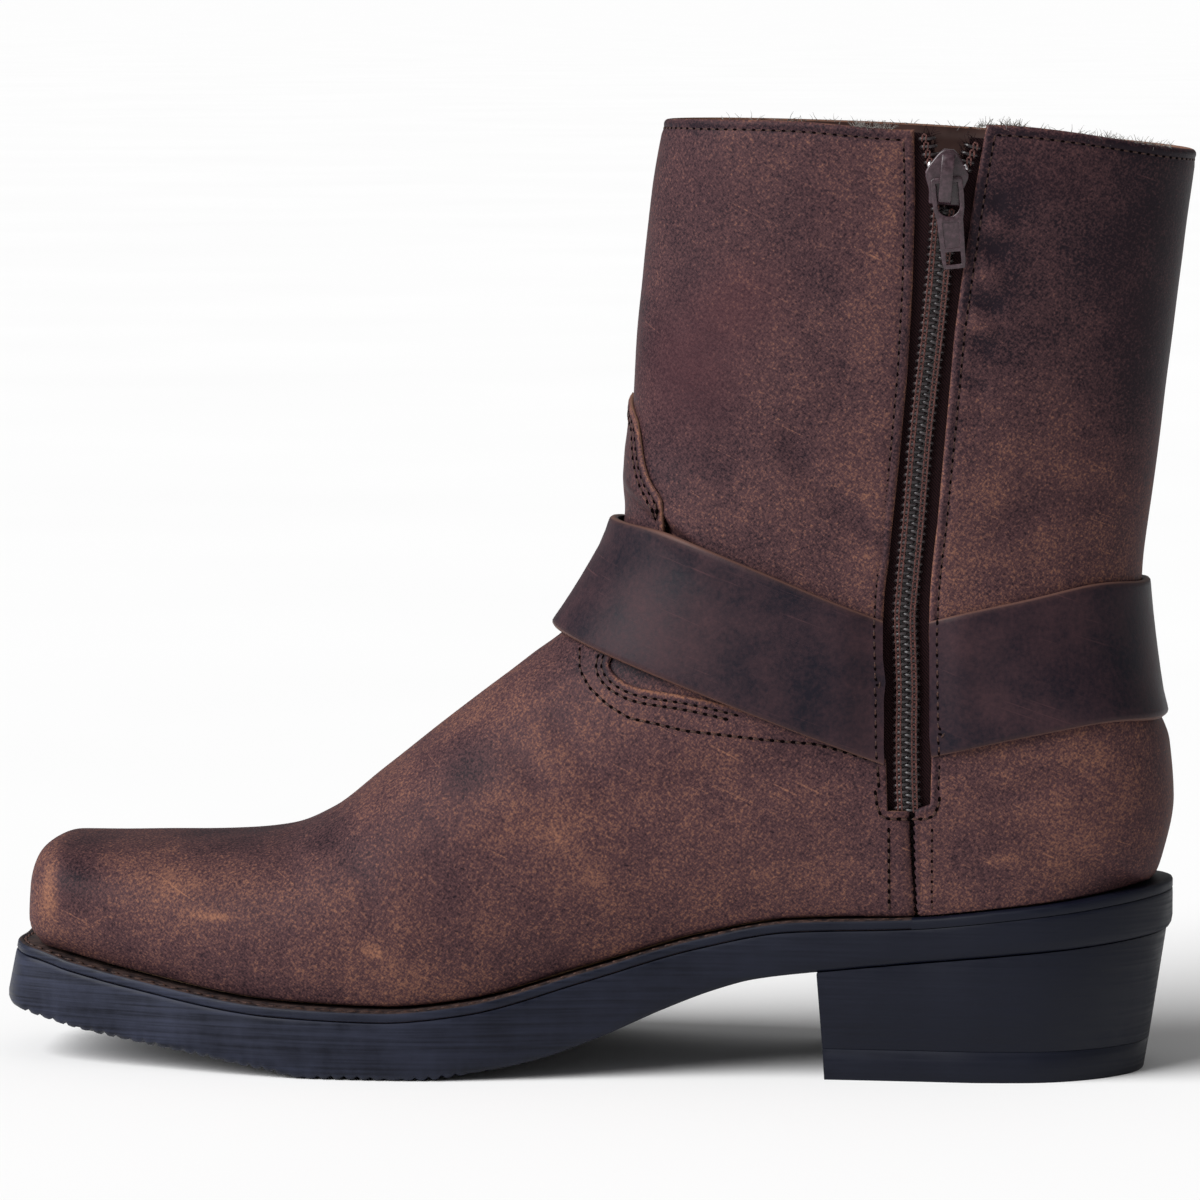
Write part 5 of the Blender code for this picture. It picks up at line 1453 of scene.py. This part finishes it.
turns, loops = [], []
for along in np.concatenate([np.arange(*ends, COIL_PITCH) for ends in (COIL_LENGTH, OPEN_COIL_LENGTH)]):
    for side in (1.0, -1.0):
        place = zip_frame(along + (COIL_PITCH / 2 if side < 0 else 0.0), TAPE_FACE)
        if along > COIL_LENGTH[1]:
            place = place @ Matrix.Translation((side * (parted(along) - TAPE_PARTING[0][1]), 0.0, 0.0))
        turns.append(place @ Matrix.Diagonal((side, 1.0, 1.0, 1.0)))
        for across in CHAIN_ACROSS:
            stitch = Matrix.Translation((side * across, CHAIN_ALONG, CHAIN_OUT))
            stitch = stitch @ Matrix.Rotation(math.pi / 2, 4, "Z")
            size = (COIL_PITCH * CHAIN_LENGTH, CHAIN_RADIUS, CHAIN_RADIUS, 1.0)
            loops.append(place @ stitch @ Matrix.Diagonal(size))
        rung = Matrix.Translation((side * RUNG_ACROSS, CHAIN_ALONG + COIL_PITCH / 2, RUNG_OUT))
        loops.append(place @ rung @ Matrix.Diagonal((RUNG_LENGTH, CHAIN_RADIUS, CHAIN_RADIUS, 1.0)))
bm = repeated(coil_turn(), turns)
join(bm, zip_strip(CORE, COIL_LENGTH, 60))
add_piece("coil_wire", bm, [nylon], replaced=["zip_coil"])
coil_thread = sewing_thread("coil_thread", "#351d1c", "#66403a")
add_piece("coil_chain_stitch", repeated(bead(5, 4), loops), [coil_thread], slot="tape")

# top stops: a bright tinned clip on each tape, which keeps the slider from coming off
STOP_SIZE = (1.5, 2.6, 1.5)
# along the zip, from the tape's inner edge, and out of the tape
STOP_PLACE = (163.2, 1.6, 2.2)
tin = grained("tinned_clip", 0.001, "#9a9498", "#d8d4d6", 2.0, gloss=(0.3, 0.7, 0.2, 0.4), metallic=1.0)
clips = []
along, aside, out = STOP_PLACE
for side in (-1.0, 1.0):
    place = zip_frame(along, TAPE_FACE) @ Matrix.Translation((side * (parted(along) + aside), 0.0, out))
    clips.append(place @ Matrix.Diagonal([size / 2 for size in STOP_SIZE] + [1.0]))
add_piece("top_stops", repeated(bead(8, 6), clips), [tin], slot="coil")

# Slider and pull tab: die-cast zinc painted dark brown. The slider's bridge holds the tab, which
# hangs down and swings up on it. The tab has a plain recessed panel and a square hole.
SLIDER_PLACE = 160.5
# right halves of the slider's, the tab's, its panel's and its hole's outlines, from the top down
SLIDER_HALF = (
    (1.2, 7.2), (2.4, 6.2), (3.6, 4.6), (5.0, 2.4), (5.5, 1.2), (5.4, 0.0), (4.5, -2.4), (4.2, -3.6),
    (4.0, -6.8),
)
TAB_HALF = (
    (3.2, 0.7), (3.8, 0.35), (4.0, -0.3), (4.1, -4.0), (3.9, -7.2), (3.3, -10.2), (3.0, -20.5), (2.6, -22.4),
)
PANEL_HALF = ((2.1, -10.6), (1.9, -17.2))
HOLE_HALF = ((1.9, -18.1), (1.9, -21.3))
SLIDER_BACK = -2.0
SLIDER_FACE = 0.5
BRIDGE_LENGTH = 13.0
BRIDGE_HEIGHT = 3.0
BRIDGE_BAR = 0.8
BRIDGE_ROOT = 0.4
BRIDGE_SQUARENESS = 0.5
BRIDGE_WIDTH = 3.2
TAB_AXIS = (0.0, -0.4, 1.6)
TAB_THICKNESS = 1.2
# half-width, top and bottom of the slot that the bridge goes through
TAB_SLOT = (2.8, -0.7, -9.2)
# the tab hangs askew on the bridge
TAB_LEAN = math.radians(10.0)
# rounding of edges: width, segments, and the least turn that is rounded
SLIDER_ROUNDING = (0.45, 3, 0.9)
BRIDGE_ROUNDING = (0.22, 2, 1.2)
TAB_ROUNDING = (0.18, 2, 1.2)
PANEL_DEPTH = 0.22
PANEL_BORDER = 0.12
# only the panel's two faces have four corners and a larger area
PANEL_LEAST_AREA = 20


def mirrored(half):
    """A closed outline from its right half."""
    (x, y), *rest = half
    return [(-x, y), (x, y)] + rest + [(-x, y) for x, y in rest[::-1]]


def plate(bm, outline, lift):
    """A flat closed outline of points, raised into a solid by a vector."""
    face = bm.faces.new([bm.verts.new(point) for point in outline])
    grown = bmesh.ops.extrude_face_region(bm, geom=[face])["geom"]
    bmesh.ops.translate(bm, verts=[v for v in grown if isinstance(v, bmesh.types.BMVert)], vec=lift)


def soften(bm, width, segments, least):
    """Round the edges that turn by more than an angle."""
    bmesh.ops.recalc_face_normals(bm, faces=bm.faces)
    sharp = [e for e in bm.edges if e.is_manifold and e.calc_face_angle() > least]
    bmesh.ops.bevel(bm, geom=sharp, offset=width, segments=segments, profile=0.5, affect="EDGES",
                    material=-1, clamp_overlap=True)


# painted zinc: brown enamel over die-cast metal, glossy in the middle and rubbed grey on the edges
enamel = grained("brown_enamel", 0.0012, "#2b1920", "#4e3840", 4.0, 0.65, shade=(0.45, 0.8),
                 gloss=(0.3, 0.7, 0.24, 0.42), bump=(0.15, 0.0002), specular_ior_level=0.6)

slider_place = zip_frame(SLIDER_PLACE, 0.0)
bm = bmesh.new()
plate(bm, [(x, y, SLIDER_BACK) for x, y in mirrored(SLIDER_HALF)], (0.0, 0.0, SLIDER_FACE - SLIDER_BACK))
soften(bm, *SLIDER_ROUNDING)
bridge = bmesh.new()
arc = np.radians(np.linspace(0.0, 180.0, 15))
profile = []
for thinner in (0.0, BRIDGE_BAR):
    half, rise = BRIDGE_LENGTH / 2 - thinner, BRIDGE_HEIGHT - thinner
    bow = [(half * math.cos(a), rise * math.sin(a) ** BRIDGE_SQUARENESS) for a in arc]
    run = [(half, -BRIDGE_ROOT)] + bow + [(-half, -BRIDGE_ROOT)]
    profile += run if not profile else run[::-1]
plate(bridge, [(-BRIDGE_WIDTH / 2, y, z + SLIDER_FACE) for y, z in profile], (BRIDGE_WIDTH, 0.0, 0.0))
soften(bridge, *BRIDGE_ROUNDING)
join(bm, bridge)
bmesh.ops.transform(bm, matrix=slider_place, verts=bm.verts)
add_piece("slider_casting", bm, [enamel], replaced=["zip_slider"])

bm = bmesh.new()
half, top, bottom = TAB_SLOT
arc = np.radians(np.linspace(180.0, 360.0, 11))
turn = [(half * math.cos(a), bottom + half * (1 + math.sin(a))) for a in arc]
slot = [(-half, top)] + turn + [(half, top)]
rings = []
for outline in (mirrored(TAB_HALF), slot, mirrored(PANEL_HALF), mirrored(HOLE_HALF)):
    rings.append([bm.verts.new((x, y, -TAB_THICKNESS / 2)) for x, y in outline])
edges = [bm.edges.new(pair) for ring in rings for pair in zip(ring, ring[1:] + ring[:1])]
bmesh.ops.triangle_fill(bm, use_beauty=True, edges=edges)
bm.faces.new(rings[2])
bmesh.ops.recalc_face_normals(bm, faces=bm.faces)
bmesh.ops.solidify(bm, geom=bm.faces[:], thickness=TAB_THICKNESS)
soften(bm, *TAB_ROUNDING)
bm.normal_update()
for face in [f for f in bm.faces if len(f.verts) == 4 and f.calc_area() > PANEL_LEAST_AREA]:
    bmesh.ops.inset_individual(bm, faces=[face], thickness=PANEL_BORDER, depth=-PANEL_DEPTH)
flat = [v.co.z for v in bm.verts]
bmesh.ops.translate(bm, verts=bm.verts, vec=(0.0, 0.0, -(min(flat) + max(flat)) / 2))
hung = slider_place @ Matrix.Translation(TAB_AXIS) @ Matrix.Rotation(TAB_LEAN, 4, "Z")
bmesh.ops.transform(bm, matrix=hung, verts=bm.verts)
add_piece("pull_tab_casting", bm, [enamel], body="pull_tab", replaced=["zip_pull_tab"])

# Harness: three straps of dark waxed leather with cut edges. Two are sewn in along the zip's edges
# and go round the front and the back of the ankle to the ring on the outer side, and a short one
# holds the ring down to the welt. Each is looped round the ring's wire.
STRAP_THICKNESS = 2.2
STRAP_LIFT = 0.35
# thickness of its end at the zip, and the share of its length over which it is thinned to it
STRAP_SKIVED = 0.75
STRAP_SKIVE_LENGTH = 0.12
# shares across between which the light of its cut edges runs out
STRAP_CUT = (0.004, 0.02)
STRAP_STEPS = 46
STRAP_ACROSS = 9
# share of the boot's half round which a strap turns at the front or back
STRAP_TURN = 0.28
# how much of a hollow under it the stiff strap bridges
STRAP_BRIDGE = 0.55
STRAP_SMOOTHING = 14
# how much farther it stands off at the front of the ankle, and over which share
STRAP_STAND = 0.9
STRAP_STAND_SHARE = 0.1
# first needle hole of a strap's end, in pitches, a section above it, and the rays that find its face
STRAP_FIRST_HOLE = 0.2
STRAP_ROW_TOP = SECTIONS / 1.2
RAY_START = 9.0
RAY_LENGTH = 12.0
FRONT_STRAP = {
    "inner_high": ((3.4, 142.0), (19.0, 139.8), (43.0, 131.7), (60.0, 124.9), (72.0, 120.2), (75.9, 118.7)),
    "inner_low": ((-13.3, 114.6), (-2.0, 110.6), (9.0, 106.8), (27.7, 100.0), (48.5, 92.2), (61.6, 87.2),
                  (70.5, 83.8), (76.2, 81.7)),
    "outer_high": ((3.4, 142.0), (16.0, 136.0), (40.0, 123.5)),
    "outer_low": ((-13.3, 114.6), (0.0, 109.5), (34.0, 102.0)),
}
BACK_STRAP = {
    "inner_high": ((87.7, 118.6), (92.0, 119.9), (113.0, 124.3), (133.5, 128.0), (142.0, 127.0)),
    "inner_low": ((88.3, 83.8), (92.4, 84.9), (117.5, 90.2), (137.3, 93.1), (145.6, 92.4)),
    "outer_high": ((102.5, 114.5), (120.0, 119.0), (136.0, 126.0), (142.0, 127.0)),
    "outer_low": ((102.5, 92.0), (120.0, 91.5), (136.0, 92.0), (145.6, 92.0)),
}
LOWER_STRAP = {"top": (61.0, 73.0), "foot": (56.0, 43.4), "half_width": 10.5, "rows": 14}
RING_CENTRE = (70.0, 101.0)
RING_RADIUS = 19.0
RING_WIRE = 2.5
RING_STANDOFF = 7.4
LOOP_INSIDE = 2.7
LOOP_SPREAD = math.radians(62)
LOOP_ANGLES = np.radians(np.linspace(-70.0, -310.0, 25))
STRAP_LOOPS = {
    # where each strap leaves the ring, towards the toe and up, and which way its edges run round it
    "strap_front": ((1.0, 0.35), 1.0),
    "strap_back": ((-1.0, 0.1), -1.0),
    "strap_lower": ((0.3, -1.0), -1.0),
}
STRAP_SECTION = (
    # share across, share of the thickness
    (0.0, 0.45), (0.004, 0.8), (0.016, 0.96), (0.045, 1.0), (0.15, 1.0), (0.3, 1.0), (0.45, 1.0),
    (0.6, 1.0), (0.75, 1.0), (0.88, 1.0), (0.955, 1.0), (0.984, 0.96), (0.996, 0.8), (1.0, 0.45),
    (0.99, 0.0), (0.75, 0.0), (0.5, 0.0), (0.25, 0.0), (0.01, 0.0),
)


def ring_axes():
    """Centre of the ring and its axes: X towards the toe, Y up, Z out of the boot."""
    s, t = locate(*RING_CENTRE, 1)
    out = sample(NORMAL, s, t)
    across = np.array((-1.0, 0.0, 0.0))
    across = unit(across - out * (across @ out))
    return skin(s, t, RING_STANDOFF), across, np.cross(out, across), out


def looped(name, shares, heights):
    """Rows of a strap's section where it wraps the ring, coming in under the wire."""
    centre, across, up, out = ring_axes()
    (forward, upward), order = STRAP_LOOPS[name]
    middle = math.atan2(upward, forward) + order * LOOP_SPREAD * (shares - 0.5)
    radial = across * np.cos(middle)[:, None] + up * np.sin(middle)[:, None]
    rows = []
    for angle in LOOP_ANGLES:
        turned = radial * math.cos(angle) + out * math.sin(angle)
        rows.append(centre + radial * RING_RADIUS
                    + turned * (LOOP_INSIDE + STRAP_THICKNESS * (1 - heights))[:, None])
    return np.array(rows)


def strap_lift(t):
    """How far a strap's underside stands off the shaft, over the vamp in front."""
    over_vamp = VAMP_STEP * (1.0 - fade(np.abs(t), *VAMP_FADE_SHARES))
    return STRAP_LIFT + over_vamp + STRAP_STAND * hill(t, 0.0, STRAP_STAND_SHARE)


def strap_line(edges, side, share, middle, last):
    """Sections and shares of a line along a strap, from the boot's front or back to its end on a side."""
    sign = -1 if side == "inner" else 1
    low, high = curve(edges[side + "_low"]), curve(edges[side + "_high"])
    ankle = S_STEPS[S_STEPS >= VAMP_REACH[0]]
    turn_s, turn_t = [], sign * np.linspace(middle, abs(middle - STRAP_TURN), 24)
    for t in turn_t:
        out = np.full_like(ankle, strap_lift(t) + STRAP_THICKNESS)
        x, _, z = skin(ankle, np.full_like(ankle, t), out).T
        turn_s.append(np.interp(0.0, z - low(x) * (1 - share) - high(x) * share, ankle))
    out = strap_lift(turn_t[-1]) + STRAP_THICKNESS
    start_x = skin(turn_s[-1], turn_t[-1], out)[0]
    end_x = edges[side + "_low"][last][0] * (1 - share) + edges[side + "_high"][last][0] * share
    flat = []
    for x in np.linspace(start_x, end_x, 30)[1:]:
        flat.append(locate(x, low(x) * (1 - share) + high(x) * share, sign, out))
    path = np.vstack((np.column_stack((turn_s, turn_t)), flat))
    return along_edge(path[:, 0], path[:, 1], np.linspace(0.0, 1.0, STRAP_STEPS))


def add_strap(name, s, t, thickness):
    """Make a strap from the sections and shares of its face, ending in its loop on the ring."""
    section = np.array(STRAP_SECTION)
    shares, heights = section.T
    across = np.linspace(0.0, 1.0, STRAP_ACROSS)
    wide_s, wide_t = (np.array([np.interp(shares, across, row) for row in rows]) for rows in (s, t))
    under = skin(wide_s, wide_t, strap_lift(wide_t) * thickness[:, None])
    outward = sample(NORMAL, wide_s, wide_t)
    for _ in range(STRAP_SMOOTHING):
        for line in (under, outward):
            line[1:-1] += (line[:-2] + line[2:] - 2 * line[1:-1]) / 4
    far = np.argmax(shares)
    chord = under[:, :1] + (under[:, far:far + 1] - under[:, :1]) * shares[None, :, None]
    bridge = STRAP_BRIDGE * np.maximum(((chord - under) * outward).sum(axis=2), 0.0)
    laid = under + outward * (bridge + STRAP_THICKNESS * thickness[:, None] * heights)[:, :, None]
    points = np.concatenate((laid, looped(name, shares, heights)))
    bm, verts, column, row = grid(len(section), len(points) - 1, ("cut",))
    column %= len(section)
    lay(verts, points[row, column])
    cut = bm.verts.layers.float["cut"]
    for vert, c in zip(verts, column):
        vert[cut] = 1.0 - fade(min(shares[c], 1.0 - shares[c]), *STRAP_CUT) if heights[c] else 0.0
    cap_ends(bm, verts, row)
    return add_piece(name + "_leather", bm, [strap_leather], replaced=[name])


# waxed strap leather: dyed through and rolled smooth, dark with a low sheen, fine scratches and
# lighter where it bends
strap_leather, tree, shader, coords = new_material("waxed_strap_leather", specular_ior_level=0.15)
grain = clouds(tree, coords, 0.0012, 4.0, 0.7)
scratch = clouds(tree, drawn_out(tree, coords, (0.0, 0.35, 0.0), (0.025, 0.025, 0.0005)), 1.0, 2.0)
both = worked_out(tree, "MULTIPLY_ADD", grain, 0.6, clouds(tree, coords, 0.022, 4.0, 0.6))
both = worked_out(tree, "ADD", both, spread(tree, scratch, 0.66, 0.85, 0.0, 0.6))
tint = mixed(tree, spread(tree, both, 0.62, 1.12), "#110d18", "#3d282c")
# the cut edges are not waxed and show the lighter middle of the hide
tint = mixed(tree, node(tree, "Attribute", attribute_name="cut").outputs["Fac"], tint, "#5a4039")
dress(tree, shader, tint, spread(tree, both, 0.5, 1.2, 0.42, 0.64), grain, 0.2, 0.0003)

for name, edges, middle, last, share, turn in (
        ("strap_front", FRONT_STRAP, 0.0, -1, front_share, 1.0),
        ("strap_back", BACK_STRAP, 1.0, 0, rear_share, -1.0)):
    inner, outer = (np.array([strap_line(edges, side, across, middle, last)
                              for across in np.linspace(0.0, 1.0, STRAP_ACROSS)])
                    for side in ("inner", "outer"))
    s, t = np.concatenate((inner[:, :, ::-1], outer[:, :, 1:]), axis=2).transpose(1, 2, 0)
    skive = fade(np.arange(len(s)) / STRAP_STEPS, 0.0, STRAP_SKIVE_LENGTH)
    thin = STRAP_SKIVED / STRAP_THICKNESS
    strap = add_strap(name, s, t, thin + (1 - thin) * skive)
    # the zip's row of stitches goes on through the strap's end
    s = np.linspace(locate(*ZIP_FOOT_ROW[0], -1)[0], STRAP_ROW_TOP, 160)
    t = -share(s) + turn * EDGE_ROW / girths(s)[0]
    face = BVHTree.FromPolygons([v.co / MM for v in strap.data.vertices],
                                [p.vertices for p in strap.data.polygons])
    outward = sample(NORMAL, s, t)
    hits = [face.ray_cast(Vector(start), Vector(-way), RAY_LENGTH)[0]
            for start, way in zip(skin(s, t, RAY_START) + AXIS_SHIFT, outward)]
    met = [i for i, hit in enumerate(hits) if hit is not None]
    points = np.array([hits[i] for i in met]) - AXIS_SHIFT
    stitches, holes = sew(points, outward[met], STRAP_FIRST_HOLE)
    add_piece(name + "_stitches", repeated(bead(6, 5), stitches), [upper_thread], slot="strap")
    # near-black beads as painted shade in the strap's needle holes
    add_piece(name + "_needle_holes", repeated(bead(6, 4), holes), [hole_shade], slot="strap")
top, foot = np.array(LOWER_STRAP["top"]), np.array(LOWER_STRAP["foot"])
across = LOWER_STRAP["half_width"] * np.linspace(-1.0, 1.0, STRAP_ACROSS)
rows = []
for share in np.linspace(0.0, 1.0, LOWER_STRAP["rows"]):
    x, z = foot + (top - foot) * share
    rows.append([locate(x + aside, z, 1) for aside in across])
s, t = np.moveaxis(np.array(rows), 2, 0)
add_strap("strap_lower", s, t, np.ones(len(s)))

# ring: bent and welded wire, nickel plated, smooth with a few dull rubs
nickel = grained("nickel_plate", 0.004, "#a9a49b", "#cfcac2", 4.0, gloss=(0.35, 0.7, 0.16, 0.34),
                 metallic=1.0)
bm = bmesh.new()
wire = Matrix.Translation((RING_RADIUS, 0.0, 0.0)) @ Matrix.Rotation(math.pi / 2, 4, "X")
bmesh.ops.create_circle(bm, segments=16, radius=RING_WIRE, matrix=wire)
bmesh.ops.spin(bm, geom=bm.verts[:] + bm.edges[:], cent=(0.0, 0.0, 0.0), axis=(0.0, 0.0, 1.0),
               angle=math.tau, steps=72, use_merge=True)
centre, toward, upward, out = ring_axes()
place = Matrix(np.column_stack((toward, upward, out)).tolist()).to_4x4()
place.translation = Vector(centre)
bmesh.ops.transform(bm, matrix=place, verts=bm.verts)
add_piece("ring_wire", bm, [nickel], replaced=["harness_ring"])

# Floor, light and camera: a pale floor, one wide soft light from the front left over an even white
# studio, and the camera at the photograph's angle, a little above the boot and turned a few degrees
# to its back.
CAMERA_DISTANCE = 1700.0
CAMERA_TURN = math.radians(6.0)
CAMERA_HEIGHT = 279.8
AIM_HEIGHT = 119.8
FOCAL_PIXELS = 6567.0
IMAGE_PIXELS = 1200.0
SENSOR = 36.0
FLOOR_REACH = 400.0
SUN_FROM = (-1.4, -1.0, 1.15)
SUN_SOFTNESS = math.radians(50.0)
SUN_STRENGTH = 4.6
STUDIO_STRENGTH = 0.26

# floor paint: matt off-white, with a hardly visible unevenness 400 mm wide
floor_paint = grained("floor_paint", 0.4, "#f3f3f3", "#f8f8f8", 2.0, roughness=0.9, specular_ior_level=0.0)
bm = bmesh.new()
bmesh.ops.create_grid(bm, x_segments=8, y_segments=8, size=FLOOR_REACH)
mesh = bpy.data.meshes.new("floor")
bm.to_mesh(mesh)
bm.free()
mesh.materials.append(floor_paint)
floor = bpy.data.objects.new("floor", mesh)
bpy.context.scene.collection.objects.link(floor)

world = bpy.data.worlds.new("studio")
world.use_nodes = True
background = world.node_tree.nodes["Background"]
background.inputs["Color"].default_value = (1.0, 1.0, 1.0, 1.0)
background.inputs["Strength"].default_value = STUDIO_STRENGTH
bpy.context.scene.world = world
bpy.context.scene.view_settings.view_transform = "Standard"
lamp = bpy.data.lights.new("soft_key", "SUN")
lamp.energy = SUN_STRENGTH
lamp.angle = SUN_SOFTNESS
light = bpy.data.objects.new("soft_key", lamp)
light.rotation_euler = Vector(SUN_FROM).to_track_quat("Z", "Y").to_euler()
bpy.context.scene.collection.objects.link(light)

camera_data = bpy.data.cameras.new("camera")
camera_data.sensor_width = SENSOR
camera_data.lens = FOCAL_PIXELS / IMAGE_PIXELS * SENSOR
camera_data.clip_end = 2 * FLOOR_REACH
camera = bpy.data.objects.new("camera", camera_data)
eye = Vector((CAMERA_DISTANCE * math.sin(CAMERA_TURN), -CAMERA_DISTANCE * math.cos(CAMERA_TURN),
              CAMERA_HEIGHT))
aim = Vector((0.0, 0.0, AIM_HEIGHT))
camera.location = (eye + Vector(AXIS_SHIFT)) * MM
camera.rotation_euler = (aim - eye).to_track_quat("-Z", "Y").to_euler()
bpy.context.scene.collection.objects.link(camera)
bpy.context.scene.camera = camera
